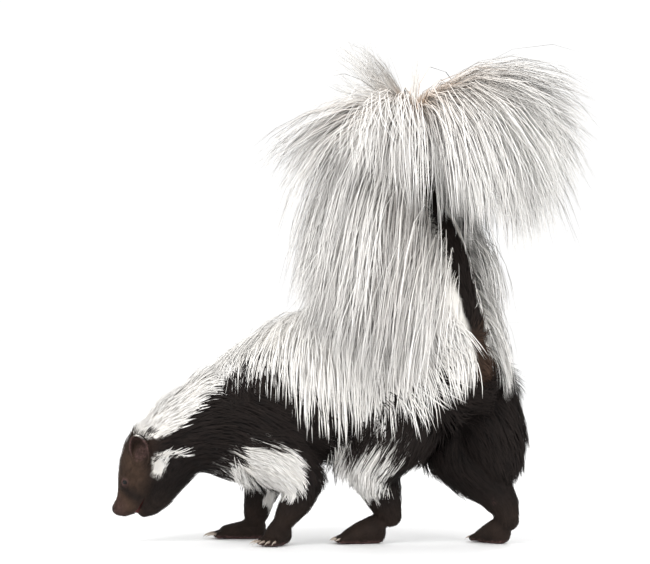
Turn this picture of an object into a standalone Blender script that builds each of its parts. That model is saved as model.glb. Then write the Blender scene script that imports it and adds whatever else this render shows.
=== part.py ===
"""Striped skunk in its stamping stance: head low, rump turned and raised, tail held straight up.

Life-size still model. Metres, +Z up. The head points to -X, the left flank faces -Y, the feet stand on Z = 0,
and the origin is the middle of the model's box, on the floor.
"""

import math
import random

import bmesh
import bpy
import numpy as np
from mathutils import Matrix, Vector
from mathutils.bvhtree import BVHTree

# Driving sizes, in metres.
MM = 0.001
GAP = 0.4 * MM  # clearance between nodes that touch
FIRST_CUT = 0.1 * MM  # width of the cuts before the nodes are thinned out
VOXEL = 1.5 * MM  # fineness of the flesh before it is thinned out
EYE_RADIUS = 3.3 * MM
LID_THICKNESS = 0.9 * MM
EAR_LENGTH = 31 * MM
EAR_WIDTH = 19 * MM
EAR_DEPTH = 8 * MM
EAR_WALL = 1.8 * MM
MOUTH_GAP = 1.3 * MM
NOSTRIL_RADIUS = 1.7 * MM
FORE_CLAW = 13 * MM
HIND_CLAW = 8 * MM
CLAW_RADIUS = 1.5 * MM
CLAW_STEPS = 3

# The pelvis is turned towards the viewer's side by this much, seen from above.
PELVIS_TURN = math.radians(45)
TO_RIGHT = Vector((math.sin(PELVIS_TURN), math.cos(PELVIS_TURN), 0))
UP = Vector((0, 0, 1))
DOWN = -UP
ACROSS = Vector((0, 1, 0))

# Body stations in millimetres, out to the short coat: centre x, y, z, half depth, half width, and half length
# where it isn't the usual share of those.
TORSO = (
    (-118, 2, 107, 44, 36),
    (-100, 4, 113, 54, 43),
    (-82, 6, 116, 60, 47),
    (-56, 9, 120, 64, 49),
    (-20, 15, 136, 65, 52),
    (25, 19, 146, 67, 55),
    (68, 16, 156, 65, 56),
    (103, 2, 161, 60, 54),
    (128, -15, 165, 48, 47),
    (141, -26, 170, 34, 34),
)
NECK = ((-155, 0, 93, 25, 24), (-143, 0, 97, 34, 29), (-132, 1, 102, 40, 33), (-118, 2, 107, 44, 36))
SKULL = (
    (-189.8, 0, 32.4, 7.2, 7.2),
    (-184.5, 0, 38.5, 7.9, 9.4),
    (-180, 0, 50, 10.6, 12.5),
    (-175, 0, 60, 15.4, 17.5),
    (-168.5, 0, 72, 21, 23.5),
    (-162.5, 0, 84, 23.5, 25),
    (-155, 0, 93, 25.5, 25),
)
MUZZLE = ((-184.5, 0, 32.8, 8.2, 9.6), (-178, 0, 35.5, 8.8, 11), (-170, 0, 50, 13, 16), (-163, 0, 66, 19, 22))
JAW = (
    (-165.8, 0, 30.2, 6.4, 6.6),
    (-158.5, 0, 35, 9.5, 10),
    (-151, 0, 46, 14, 16.5),
    (-144, 0, 62, 19, 22),
    (-138, 0, 76, 24, 26),
)
FORELEG_LEFT = (
    (-62, -14, 104, 36, 24),
    (-36, -20, 80, 29, 20),
    (-12, -24, 60, 20, 16.5),
    (-20, -23, 42, 16.5, 14.5),
    (-31, -21, 25, 12, 11.5),
)
FORELEG_RIGHT = (
    (-70, 32, 104, 34, 24),
    (-54, 38, 78, 26, 19),
    (-50, 42, 58, 20, 16.5),
    (-56, 44, 42, 16.5, 14.5),
    (-60, 44, 24, 13.5, 12.5),
)
HINDLEG_LEFT = (
    (94, -18, 146, 46, 32),
    (72, -24, 112, 42, 29),
    (48, -20, 76, 28, 23),
    (58, -12, 56, 21.5, 17),
    (64, -6, 38, 17, 13.5),
    (69, -3, 25, 12.5, 12),
)
HINDLEG_RIGHT = (
    (134, 22, 146, 46, 32),
    (130, 24, 116, 43, 30),
    (126, 22, 92, 31, 25),
    (146, 14, 72, 29, 22),
    (164, 4, 54, 21.5, 18.5),
    (177, -7, 36, 16, 14.5),
    (180, -10, 22, 12.5, 12),
)
HAMSTRING_RIGHT = ((148, 14, 142, 40, 34), (164, 6, 108, 33, 29), (172, 2, 80, 24, 22))
TAIL = (
    (141, -24, 182, 24, 24),
    (143, -25, 208, 20, 20),
    (137, -21, 237, 18, 18),
    (131, -16, 269, 17, 17),
    (119, -8, 302, 16, 16),
    (104, 0, 328, 15, 15),
    (95, 6, 356, 14, 14),
    (92, 10, 384, 13, 13),
    (93, 13, 408, 10, 10),
)
# The dense inner hair of the plume, which reaches less than half way to its tips.
PLUME_CORE = (
    (94, 13, 410, 15, 15, 12),
    (84, 14, 386, 38, 36, 20),
    (74, 14, 350, 50, 50, 22),
    (66, 14, 316, 52, 54, 20),
    (64, 14, 294, 38, 42, 12),
)
BACK_CORE = (
    (-128, 2, 110, 34, 32, 16),
    (-96, 5, 120, 46, 40, 20),
    (-58, 9, 138, 56, 48, 22),
    (-16, 15, 158, 64, 52, 24),
    (30, 18, 170, 68, 54, 26),
    (74, 12, 176, 64, 54, 24),
    (104, 0, 176, 54, 50, 18),
)

# The tail's locks in tiers from below: share of the way up the tail, count, length, rise in degrees, how fast
# they fall, and half width.
TAIL_TIERS = (
    (0.29, 4, 84, -30, 0.8, 15),
    (0.38, 5, 110, -20, 0.8, 17),
    (0.50, 7, 140, 0, 0.8, 18),
    (0.62, 8, 165, 14, 0.8, 19),
    (0.74, 9, 195, 30, 0.75, 20),
    (0.85, 10, 220, 42, 0.68, 20),
    (0.94, 9, 205, 50, 0.5, 18),
    (0.98, 7, 120, 50, 0.2, 13),
    (0.99, 3, 70, 78, 0.1, 10),
)
LOCK_THICKNESS = 4.4 * MM
# The bare dark strip below the tail: the way it faces, how wide it is as a cosine, and how high up it reaches.
STRIP_FACING = Vector((0.72, -0.69, 0)).normalized()
STRIP_WIDTH = 0.45
STRIP_TOP = 0.7
LEFT_SHORTER = 0.22  # share by which the locks on the head's side of the tail are shorter

# The long coat in patches. Each is rows of locks along a stretch of a line of stations, at angles from the way
# that it faces. Its lift in degrees and its drift off the line are given straight ahead and at the side.
COATS = (
    {
        "node": "torso", "line": TORSO, "stretch": (0.07, 0.93), "rows": 7, "first_row": 0.5, "facing": UP,
        "angles": (0, 25, -25, 50, -50, 75, -75), "length": 80, "half_width": 18,
        "lift": (33, 12), "drift": (Vector((0, 0, 0)), Vector((0, 0, -2.0))),
    },
    {
        "node": "thigh_right", "line": HINDLEG_RIGHT, "stretch": (0.02, 0.5), "rows": 2, "first_row": 1.0,
        "facing": Vector((1, -0.3, 0.2)), "angles": (-60, -25, 10, 45), "length": 50, "half_width": 12,
        "lift": (26, 16), "drift": (Vector((0.5, 0, 0)), Vector((0.2, 0, 0))),
    },
    {
        "node": "thigh_left", "line": HINDLEG_LEFT, "stretch": (0.1, 0.5), "rows": 2, "first_row": 1.0,
        "facing": Vector((0.1, -1, 0)), "angles": (-50, -16, 18), "length": 44, "half_width": 12,
        "lift": (18, 18), "drift": (Vector((0.3, 0, -0.4)), Vector((0.2, 0, 0))),
    },
    {
        "node": "upperarm_left", "line": FORELEG_LEFT, "stretch": (0.2, 0.5), "rows": 2, "first_row": 1.0,
        "facing": Vector((0.8, -0.9, 0)), "angles": (-20, 25), "length": 34, "half_width": 10,
        "lift": (20, 20), "drift": (Vector((0.6, 0, -0.3)), Vector((0.5, 0, 0))),
    },
)
LOCK_STEP = 42 * MM  # length of each straight stretch of a lock
FEWEST_STEPS = 3
CLEARANCE = 4 * MM  # room between a lock's middle line and any other node
SEED = 9

# Paws: heel and toe points on the floor, heel height, half width, claw length.
PAWS = {
    "forepaw_left": {"heel": (-35, -19), "toes": (-43, -30), "lift": 13, "half": 12, "claw": FORE_CLAW},
    "forepaw_right": {"heel": (-60, 44), "toes": (-89, 46), "lift": 10, "half": 13, "claw": FORE_CLAW},
    "hindpaw_left": {"heel": (54, -3), "toes": (28, -5), "lift": 13, "half": 13, "claw": HIND_CLAW},
    "hindpaw_right": {"heel": (172, -5), "toes": (159, 12), "lift": 12, "half": 13, "claw": HIND_CLAW},
}
TOES = 5
TOE_RADIUS = 4.0 * MM
TOE_LENGTH = 10 * MM

# Flat cuts between two nodes: a point in millimetres, the direction across the cut, and its radius.
FLAT_CUTS = {
    ("nose", "head"): ((-191, 0, 33.3), (-0.94, 0, -0.34), 13),
    ("head", "neck"): ((-149, 0, 86), (0.93, 0, 0.37), 64),
    ("neck", "torso"): ((-115, 2, 108), (0.97, 0.03, 0.22), 84),
    ("tail", "torso"): ((138, -22, 230), (-0.2, 0.12, 1), 34),
    ("forepaw_left", "forearm_left"): ((-31, -21, 22), (-0.3, -0.12, -0.95), 22),
    ("forepaw_right", "forearm_right"): ((-60, 44, 22), (-0.1, 0, -0.99), 24),
    ("hindpaw_left", "shank_left"): ((67, -5, 30), (-0.2, 0, -0.98), 26),
    ("hindpaw_right", "shank_right"): ((179, -9, 26), (0.1, -0.1, -0.98), 26),
}
# Round cuts, each a thin shell about the first node: the stations that it wraps.
ROUND_CUTS = {
    ("upperarm_left", "torso", "forearm_left"): ((-62, -32, 102, 36, 28), (-13, -25, 60, 28, 24)),
    ("upperarm_right", "torso", "forearm_right"): ((-74, 48, 104, 34, 28), (-52, 43, 60, 28, 25)),
    ("thigh_left", "torso", "shank_left"): ((84, -38, 140, 42, 34), (46, -18, 80, 40, 38)),
    ("thigh_right", "torso", "shank_right"): (
        (140, 38, 140, 46, 36),
        (130, 27, 92, 43, 40),
        (166, 3, 96, 53, 46),
    ),
}

# Where each node lies, in millimetres, and how many triangles it may keep.
NODES = {
    "nose": ((-193.5, 0, 32.5), 120),
    "head": ((-168, 0, 68), 1400),
    "neck": ((-131, 1, 100), 340),
    "torso": ((15, 17, 150), 800),
    "tail": ((117, -6, 305), 340),
    "upperarm_left": ((-34, -26, 78), 200),
    "upperarm_right": ((-54, 40, 78), 200),
    "forearm_left": ((-25, -22, 34), 150),
    "forearm_right": ((-58, 44, 33), 150),
    "forepaw_left": ((-38, -24, 8), 400),
    "forepaw_right": ((-74, 45, 7), 400),
    "thigh_left": ((70, -30, 104), 300),
    "thigh_right": ((138, 24, 110), 320),
    "shank_left": ((63, -8, 42), 180),
    "shank_right": ((170, -1, 44), 180),
    "hindpaw_left": ((46, -4, 8), 400),
    "hindpaw_right": ((168, 0, 8), 400),
}


def clear_scene():
    """Empty the file's scene."""
    for obj in list(bpy.data.objects):
        bpy.data.objects.remove(obj, do_unlink=True)


def mm(point):
    """A point given in millimetres, as a vector in metres."""
    return Vector(point) * MM


def material(name, colour, roughness):
    """A plain Principled finish."""
    made = bpy.data.materials.new(name)
    made.use_nodes = True
    shader = made.node_tree.nodes["Principled BSDF"]
    shader.inputs["Base Color"].default_value = (*colour, 1)
    shader.inputs["Roughness"].default_value = roughness
    shader.inputs["Metallic"].default_value = 0.0
    return made


def add_object(name, bm, home, finish=None):
    """A new object from a bmesh, which is freed."""
    mesh = bpy.data.meshes.new(name)
    bm.to_mesh(mesh)
    bm.free()
    obj = bpy.data.objects.new(name, mesh)
    home.objects.link(obj)
    if finish:
        mesh.materials.append(finish)
    return obj


def evaluated(obj):
    """The mesh that the object's modifiers give."""
    graph = bpy.context.evaluated_depsgraph_get()
    return bpy.data.meshes.new_from_object(obj.evaluated_get(graph))


def bake(obj):
    """Turn the object's modifiers into its mesh."""
    made = evaluated(obj)
    old = obj.data
    obj.modifiers.clear()
    obj.data = made
    bpy.data.meshes.remove(old)
    return obj


def sphere_cloud(subdivisions):
    """Points spread over a unit sphere."""
    bm = bmesh.new()
    bmesh.ops.create_icosphere(bm, subdivisions=subdivisions, radius=1)
    points = [vert.co.copy() for vert in bm.verts]
    bm.free()
    return points


def station_clouds(stations, side_of, cloud, grow=0.0):
    """The surface points of each station's ellipsoid, grown by a distance."""
    centres = [mm(station[:3]) for station in stations]
    clouds = []
    for index, station in enumerate(stations):
        ahead = centres[min(index + 1, len(centres) - 1)]
        heading = (ahead - centres[max(index - 1, 0)]).normalized()
        side = side_of(heading)
        side = (side - heading * side.dot(heading)).normalized()
        depth = heading.cross(side)
        half_depth, half_side = station[3] * MM + grow, station[4] * MM + grow
        half_long = station[5] * MM if len(station) > 5 else 0.9 * min(half_depth, half_side)
        clouds.append([
            centres[index] + heading * (p.x * half_long) + side * (p.y * half_side) + depth * (p.z * half_depth)
            for p in cloud
        ])
    return clouds


def hull(bm, points):
    """Add the convex hull of points to bm and return its vertices."""
    verts = [bm.verts.new(point) for point in points]
    made = bmesh.ops.convex_hull(bm, input=verts)
    inner = {item for item in made["geom_interior"] + made["geom_unused"] if isinstance(item, bmesh.types.BMVert)}
    bmesh.ops.delete(bm, geom=list(inner), context="VERTS")
    return [vert for vert in verts if vert.is_valid]


def limb(bm, stations, side_of):
    """Add a chain of hulls, each round two neighbouring ellipsoids, to bm.

    side_of gives the sideways direction for a heading.
    """
    clouds = station_clouds(stations, side_of, sphere_cloud(2))
    for first, second in zip(clouds, clouds[1:]):
        hull(bm, first + second)


def level_side(heading):
    """Sideways for the trunk: level, and across its heading."""
    return UP.cross(heading)


def leg_side(_heading):
    """Sideways for a foreleg."""
    return ACROSS


def hip_side(_heading):
    """Sideways for a hind leg, half way between the pelvis and the walk."""
    return (ACROSS + TO_RIGHT).normalized()


def paw_frame(paw):
    """Heel, toes, forward and sideways of a paw."""
    heel, toes = (Vector((*paw[key], 0)) * MM for key in ("heel", "toes"))
    forward = (toes - heel).normalized()
    return heel, toes, forward, UP.cross(forward)


def toe_lines(paw):
    """Root and end of each toe, with its direction."""
    heel, toes, forward, side = paw_frame(paw)
    lines = []
    for index in range(TOES):
        spread = (index - (TOES - 1) / 2) / ((TOES - 1) / 2)
        turn = Matrix.Rotation(math.radians(-16 * spread), 3, "Z")
        ahead = (turn.inverted() if side.dot(UP.cross(forward)) > 0 else turn) @ forward
        short = 3.2 * MM * spread * spread
        root = toes + side * (spread * (paw["half"] * MM - TOE_RADIUS)) - ahead * short + UP * 5 * MM
        lines.append((root, root + ahead * TOE_LENGTH - UP * 1.2 * MM, ahead))
    return lines


def paw_flesh(bm, paw):
    """Add a paw's palm and toes to bm."""
    heel, toes, _forward, side = paw_frame(paw)
    half, lift = paw["half"], paw["lift"]
    mid = heel.lerp(toes, 0.5)
    stations = (
        (*(heel / MM)[:2], lift, lift + 1.5, half - 1),
        (*(mid / MM)[:2], lift * 0.75, lift * 0.75 + 2, half),
        (*(toes / MM)[:2], 6, 7.4, half),
    )
    limb(bm, stations, lambda _heading: side)
    for root, end, _ahead in toe_lines(paw):
        start = root.lerp(end, -0.3)
        round_toe = ((*(start / MM), 4.6, 4.2), (*(end / MM), 3.9, 3.6))
        limb(bm, round_toe, lambda _heading: side)


def whole_flesh(home):
    """The whole animal without its long coat, as one smooth closed body."""
    bm = bmesh.new()
    for stations in (TORSO, BACK_CORE):
        limb(bm, stations, level_side)
    for stations in (NECK, SKULL, MUZZLE, JAW, TAIL, PLUME_CORE):
        limb(bm, stations, leg_side)
    limb(bm, FORELEG_LEFT, leg_side)
    limb(bm, FORELEG_RIGHT, leg_side)
    for stations in (HINDLEG_LEFT, HINDLEG_RIGHT, HAMSTRING_RIGHT):
        limb(bm, stations, hip_side)
    for paw in PAWS.values():
        paw_flesh(bm, paw)
    body = add_object("flesh", bm, home)
    remesh = body.modifiers.new("Remesh", "REMESH")
    remesh.mode = "VOXEL"
    remesh.voxel_size = VOXEL
    smooth = body.modifiers.new("Smooth", "SMOOTH")
    smooth.factor = 0.5
    smooth.iterations = 6
    return bake(body)


def box_cutter(name, centre, size, rotation, home):
    """A box that cuts."""
    bm = bmesh.new()
    bmesh.ops.create_cube(bm, size=1)
    turned = Matrix.Translation(centre) @ rotation.to_4x4() @ Matrix.Diagonal((*size, 1))
    bm.transform(turned)
    return add_object(name, bm, home)


def disc_cutter(cut, width, home):
    """A thin disc that parts two nodes."""
    point, normal, radius = cut
    bm = bmesh.new()
    bmesh.ops.create_cone(bm, cap_ends=True, segments=40, radius1=radius * MM, radius2=radius * MM, depth=width)
    turn = Vector(normal).to_track_quat("Z", "Y").to_matrix().to_4x4()
    bm.transform(Matrix.Translation(mm(point)) @ turn)
    return add_object("disc", bm, home)


def shell_cutter(stations, width, home):
    """A thin closed shell, wrapped round stations, that parts a limb from what it grows from."""
    bm = bmesh.new()
    for grow in (width / 2, -width / 2):
        clouds = station_clouds(stations, leg_side, sphere_cloud(1), grow)
        verts = hull(bm, [point for cloud in clouds for point in cloud])
        if grow < 0:
            bmesh.ops.reverse_faces(bm, faces=list({face for vert in verts for face in vert.link_faces}))
    return add_object("shell", bm, home)


def cutters(width, home):
    """Every parting cutter of that width, with the names of the nodes that it divides."""
    made = [(names, disc_cutter(cut, width, home)) for names, cut in FLAT_CUTS.items()]
    return made + [(names, shell_cutter(cut, width, home)) for names, cut in ROUND_CUTS.items()]


def is_closed(mesh):
    """Whether every edge of a mesh is shared by exactly two faces."""
    counts = np.zeros(len(mesh.edges), dtype=np.int32)
    loops = np.empty(len(mesh.loops), dtype=np.int32)
    mesh.loops.foreach_get("edge_index", loops)
    np.add.at(counts, loops, 1)
    return bool(len(counts)) and bool((counts == 2).all())


def combine(obj, others, operation, solvers=("EXACT", "MANIFOLD")):
    """Apply one Boolean of obj with a collection of closed meshes, which are then removed.

    The next solver is tried where the one before it leaves an open edge.
    """
    group = bpy.data.collections.new(obj.name + "_pieces")
    bpy.context.scene.collection.children.link(group)
    for other in others:
        for home in list(other.users_collection):
            home.objects.unlink(other)
        group.objects.link(other)
    before = obj.data
    for solver in solvers:
        step = obj.modifiers.new("Boolean", "BOOLEAN")
        step.operation = operation
        step.operand_type = "COLLECTION"
        step.collection = group
        step.solver = solver
        made = evaluated(obj)
        obj.modifiers.clear()
        if is_closed(made):
            break
    obj.data = made
    bpy.data.meshes.remove(before)
    for other in list(group.objects):
        bpy.data.objects.remove(other, do_unlink=True)
    bpy.data.collections.remove(group)
    return obj


def islands(obj):
    """The object's separate surfaces, each as a set of face indices."""
    bm = bmesh.new()
    bm.from_mesh(obj.data)
    bm.faces.ensure_lookup_table()
    left = set(range(len(bm.faces)))
    found = []
    while left:
        stack = [left.pop()]
        island = set(stack)
        while stack:
            for edge in bm.faces[stack.pop()].edges:
                for face in edge.link_faces:
                    if face.index in left:
                        left.remove(face.index)
                        island.add(face.index)
                        stack.append(face.index)
        found.append(island)
    bm.free()
    return found


def keep_largest(obj):
    """Keep only the largest closed surface of obj."""
    found = islands(obj)
    if len(found) > 1:
        wanted = max(found, key=len)
        bm = bmesh.new()
        bm.from_mesh(obj.data)
        bm.faces.ensure_lookup_table()
        bmesh.ops.delete(bm, geom=[face for face in bm.faces if face.index not in wanted], context="FACES")
        bm.to_mesh(obj.data)
        bm.free()
    return obj


def fallen_apart(obj):
    """The loose parts of obj, as objects of their own."""
    bpy.context.view_layer.update()
    bpy.ops.object.select_all(action="DESELECT")
    obj.select_set(True)
    bpy.context.view_layer.objects.active = obj
    bpy.ops.object.mode_set(mode="EDIT")
    bpy.ops.mesh.select_all(action="SELECT")
    bpy.ops.mesh.separate(type="LOOSE")
    bpy.ops.object.mode_set(mode="OBJECT")
    return list(bpy.context.selected_objects)


def mend(obj):
    """Cut away faces that meet three to an edge and close the small holes that leaves."""
    bm = bmesh.new()
    bm.from_mesh(obj.data)
    for _round in range(4):
        bmesh.ops.dissolve_degenerate(bm, dist=0.01 * MM, edges=bm.edges)
        crowded = [edge for edge in bm.edges if len(edge.link_faces) != 2]
        if not crowded:
            break
        bmesh.ops.delete(bm, geom=list({face for edge in crowded for face in edge.link_faces}), context="FACES")
        bmesh.ops.delete(bm, geom=[edge for edge in bm.edges if not edge.link_faces], context="EDGES")
        bmesh.ops.delete(bm, geom=[vert for vert in bm.verts if not vert.link_edges], context="VERTS")
        bmesh.ops.holes_fill(bm, edges=[edge for edge in bm.edges if len(edge.link_faces) == 1], sides=0)
        bmesh.ops.triangulate(bm, faces=bm.faces)
    bmesh.ops.recalc_face_normals(bm, faces=bm.faces)
    bm.to_mesh(obj.data)
    bm.free()
    return obj


def thin_out(obj, triangles):
    """Bring obj down to about that many triangles."""
    obj.data.calc_loop_triangles()
    share = triangles / len(obj.data.loop_triangles)
    if share < 1:
        step = obj.modifiers.new("Decimate", "DECIMATE")
        step.ratio = share
        step.use_collapse_triangulate = True
        bake(obj)
    return mend(obj)


def face_forms(body, home):
    """Cut the line of the mouth and level the soles."""
    front, corner = mm((-176, 0, 22.5)), mm((-163.5, 0, 44))
    along = (corner - front).normalized()
    turn = Matrix((along, ACROSS, along.cross(ACROSS))).transposed()
    mouth = box_cutter("mouth", (front + corner) / 2, ((corner - front).length, 40 * MM, MOUTH_GAP), turn, home)
    floor = box_cutter("floor", Vector((0, 0, -20 * MM)), (1, 1, 40 * MM), Matrix.Identity(3), home)
    return combine(body, [mouth, floor], "DIFFERENCE", ("MANIFOLD",))


def part_nodes(body, home, finishes):
    """Part the body with thin cuts, name and thin out what falls apart, and widen the gaps between."""
    combine(body, [cutter for _names, cutter in cutters(FIRST_CUT, home)], "DIFFERENCE", ("MANIFOLD",))
    pieces = [(piece, surface(piece)) for piece in fallen_apart(body)]
    nodes = {}
    for name, (place, triangles) in NODES.items():
        node = next(piece for piece, tree in pieces if inside(tree, mm(place)))
        thin_out(node, triangles)
        node.name = name
        node.data.materials.clear()
        node.data.materials.append(finishes[name])
        nodes[name] = node
    for piece, _tree in pieces:
        if piece not in nodes.values():
            bpy.data.objects.remove(piece, do_unlink=True)
    for names, cutter in cutters(GAP, home):
        for name in names:
            copy = bpy.data.objects.new("cutter", cutter.data)
            home.objects.link(copy)
            combine(nodes[name], [copy], "DIFFERENCE")
        bpy.data.objects.remove(cutter, do_unlink=True)
    for node in nodes.values():
        keep_largest(node)
    return nodes


def inside(tree, point):
    """Whether point lies inside the closed surface of a search tree."""
    crossings = 0
    start = point.copy()
    hit = tree.ray_cast(start, UP)
    while hit[0]:
        crossings += 1
        hit = tree.ray_cast(hit[0] + UP * 0.001 * MM, UP)
    return crossings % 2 == 1


def surface(obj):
    """A search tree over obj's faces."""
    bm = bmesh.new()
    bm.from_mesh(obj.data)
    tree = BVHTree.FromBMesh(bm)
    bm.free()
    return tree


def grown_copy(obj, by, home):
    """A copy of obj swollen by a distance along its normals."""
    copy = bpy.data.objects.new(obj.name + "_grown", obj.data.copy())
    home.objects.link(copy)
    step = copy.modifiers.new("Displace", "DISPLACE")
    step.mid_level = 0
    step.strength = by
    return bake(copy)


def eyes(nodes, home, finish):
    """Eyeballs in sockets with raised lids, one on each side of the head."""
    head = nodes["head"]
    tree = surface(head)
    for name, sign in (("eye_left", -1), ("eye_right", 1)):
        seen_from = mm((-182.3, sign * 60, 58.8))
        spot, normal, _index, _far = tree.ray_cast(seen_from, Vector((0, -sign, 0)))
        normal = (normal + Vector((0, sign, 0)) * 0.8).normalized()
        centre = spot - normal * EYE_RADIUS * 0.62
        turn = normal.to_track_quat("Z", "Y").to_matrix().to_4x4()
        bpy.ops.mesh.primitive_torus_add(
            major_segments=12, minor_segments=5, major_radius=EYE_RADIUS * 0.95, minor_radius=LID_THICKNESS
        )
        lids = bpy.context.active_object
        lids.data.transform(Matrix.Translation(spot - normal * 0.2 * MM) @ turn @ Matrix.Diagonal((1, 0.86, 1, 1)))
        combine(head, [lids], "UNION")
        bm = bmesh.new()
        bmesh.ops.create_uvsphere(bm, u_segments=14, v_segments=9, radius=EYE_RADIUS + GAP)
        bm.transform(Matrix.Translation(centre) @ turn)
        combine(head, [add_object("socket", bm, home)], "DIFFERENCE")
        bm = bmesh.new()
        bmesh.ops.create_uvsphere(bm, u_segments=12, v_segments=8, radius=EYE_RADIUS - 0.05 * MM)
        bm.transform(Matrix.Translation(centre) @ turn)
        nodes[name] = add_object(name, bm, home, finish)
    keep_largest(head)


def ear_shape(name, sign, home, finish):
    """One ear: a rounded flap with a cupped inner side."""
    bm = bmesh.new()
    bmesh.ops.create_uvsphere(bm, u_segments=16, v_segments=10, radius=1)
    everything = bm.verts[:] + bm.edges[:] + bm.faces[:]
    bmesh.ops.bisect_plane(bm, geom=everything, plane_co=(0, 0, 0.15), plane_no=(0, 0, 1), clear_outer=True)
    bm.transform(Matrix.Diagonal((EAR_WIDTH / 2, EAR_LENGTH / 2, EAR_DEPTH, 1)))
    ear = add_object(name, bm, home, finish)
    wall = ear.modifiers.new("Solidify", "SOLIDIFY")
    wall.thickness = EAR_WALL
    wall.offset = 0
    bake(ear)
    base, tip = mm((-164, sign * 22, 73)), mm((-171.5, sign * 28, 105))
    length = (tip - base).normalized()
    outward = Vector((-0.42, sign * 0.9, -0.1))
    outward = (outward - length * outward.dot(length)).normalized()
    turn = Matrix((length.cross(outward), length, outward)).transposed().to_4x4()
    ear.data.transform(Matrix.Translation((base + tip) / 2) @ turn)
    return ear


def ears(nodes, home, finish):
    """Both ears, fitted to the head."""
    for name, sign in (("ear_left", -1), ("ear_right", 1)):
        ear = ear_shape(name, sign, home, finish)
        swollen = [grown_copy(nodes[other], GAP, home) for other in ("head", "neck")]
        combine(ear, swollen, "DIFFERENCE")
        nodes[name] = keep_largest(ear)


def nostrils(nodes, home):
    """Two nostrils, each a round opening that runs out to the side."""
    cutters = []
    for sign in (-1, 1):
        bm = bmesh.new()
        bmesh.ops.create_uvsphere(bm, u_segments=8, v_segments=6, radius=NOSTRIL_RADIUS)
        bm.transform(Matrix.Translation(mm((-196.2, sign * 3.0, 31.6))) @ Matrix.Diagonal((1.3, 1, 1, 1)))
        cutters.append(add_object("nostril", bm, home))
        bm = bmesh.new()
        bmesh.ops.create_cube(bm, size=1)
        bm.transform(
            Matrix.Translation(mm((-193.8, sign * 5.8, 32.6)))
            @ Matrix.Rotation(math.radians(-20), 4, "Y")
            @ Matrix.Diagonal((5 * MM, 4 * MM, 0.9 * MM, 1))
        )
        cutters.append(add_object("slit", bm, home))
    for cutter in cutters:
        combine(nodes["nose"], [cutter], "DIFFERENCE")
    keep_largest(nodes["nose"])


def claws(nodes, home):
    """Five curved claws on each paw, fused to it."""
    for name, paw in PAWS.items():
        made = []
        for root, end, ahead in toe_lines(paw):
            start = root.lerp(end, 0.55)
            reach = end + ahead * paw["claw"]
            path = []
            for step in range(CLAW_STEPS + 1):
                t = step / CLAW_STEPS
                point = start.lerp(reach, t)
                point.z = start.z + 1.2 * MM * math.sin(math.pi * t * 0.8) - (end.z - 1.0 * MM) * t * t
                path.append(point)
            made.append(taper("claw", path, ahead.cross(UP), CLAW_RADIUS, CLAW_RADIUS, home, round_sides=5))
        combine(nodes[name], made, "UNION")
        keep_largest(nodes[name])


def taper(name, path, across, half_width, half_thick, home, round_sides=0):
    """A closed strand along path that narrows to a point, with its width towards across.

    It is a flat three-sided blade with a ridge on its outer side, or round with round_sides sides.
    """
    bm = bmesh.new()
    rings = []
    count = len(path)
    for index, point in enumerate(path[:-1]):
        t = index / (count - 1)
        ahead = (path[index + 1] - path[max(index - 1, 0)]).normalized()
        side = (across - ahead * across.dot(ahead)).normalized()
        out = side.cross(ahead)
        if round_sides:
            swell = 1 - 0.75 * t
            offsets = [
                side * (math.cos(a) * half_width * swell) + out * (math.sin(a) * half_thick * swell)
                for a in (2 * math.pi * k / round_sides for k in range(round_sides))
            ]
        else:
            swell = min(1, 0.62 + 1.3 * t) * (1 - t ** 2.4 * 0.72)
            wide, thick = half_width * swell, half_thick * (1 - 0.5 * t)
            offsets = [side * wide - out * thick * 0.6, out * thick, -side * wide - out * thick * 0.6]
        rings.append([bm.verts.new(point + offset) for offset in offsets])
    tip = bm.verts.new(path[-1])
    sides = len(rings[0])
    for low, high in zip(rings, rings[1:]):
        for k in range(sides):
            n = (k + 1) % sides
            # Each side is two triangles on the same diagonal, so that the flat faces can't cross.
            bm.faces.new((low[k], low[n], high[n]))
            bm.faces.new((low[k], high[n], high[k]))
    for k in range(sides):
        bm.faces.new((rings[-1][k], rings[-1][(k + 1) % sides], tip))
    bm.faces.new(rings[0][::-1])
    bmesh.ops.recalc_face_normals(bm, faces=bm.faces)
    return add_object(name, bm, home)


def point_along(stations, share):
    """The point at a share of the way along the middle line of stations, and the direction there."""
    centres = [mm(station[:3]) for station in stations]
    lengths = [(b - a).length for a, b in zip(centres, centres[1:])]
    left = share * sum(lengths)
    for a, b, length in zip(centres, centres[1:], lengths):
        if left <= length or b is centres[-1]:
            return a.lerp(b, left / length), (b - a).normalized()
        left -= length


def falling_path(start, heading, length, fall, curl):
    """The line of a lock that leaves start along heading, curls aside and bends down under its weight."""
    steps = max(FEWEST_STEPS, round(length / LOCK_STEP))
    points = [start]
    for _step in range(steps):
        points.append(points[-1] + heading * (length / steps))
        heading = (heading + DOWN * (fall * 4 / steps) + curl / steps).normalized()
    return points


def held_off(points, trees, margin):
    """The points with each one past the root moved out to at least margin from every surface."""
    moved = [points[0]]
    for point in points[1:]:
        for tree in trees:
            spot, normal, _index, far = tree.find_nearest(point)
            if far < margin or inside(tree, point):
                point = spot + normal * margin
        point.z = max(point.z, margin)
        moved.append(point)
    return moved


def try_lock(path_for, across, half_width, home, blocked):
    """The longest of a few ever shorter locks that crosses none of the blocked surfaces, or None."""
    for shorten in (1, 0.85, 0.7, 0.55):
        path = path_for(shorten)
        width = half_width * MM * (0.5 + 0.5 * shorten)
        swollen = taper("swollen", path, across, width + GAP, LOCK_THICKNESS / 2 + GAP, home)
        tree = surface(swollen)
        bpy.data.objects.remove(swollen, do_unlink=True)
        if not any(tree.overlap(other) for other in blocked):
            return taper("lock", path, across, width, LOCK_THICKNESS / 2, home)
    return None


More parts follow.
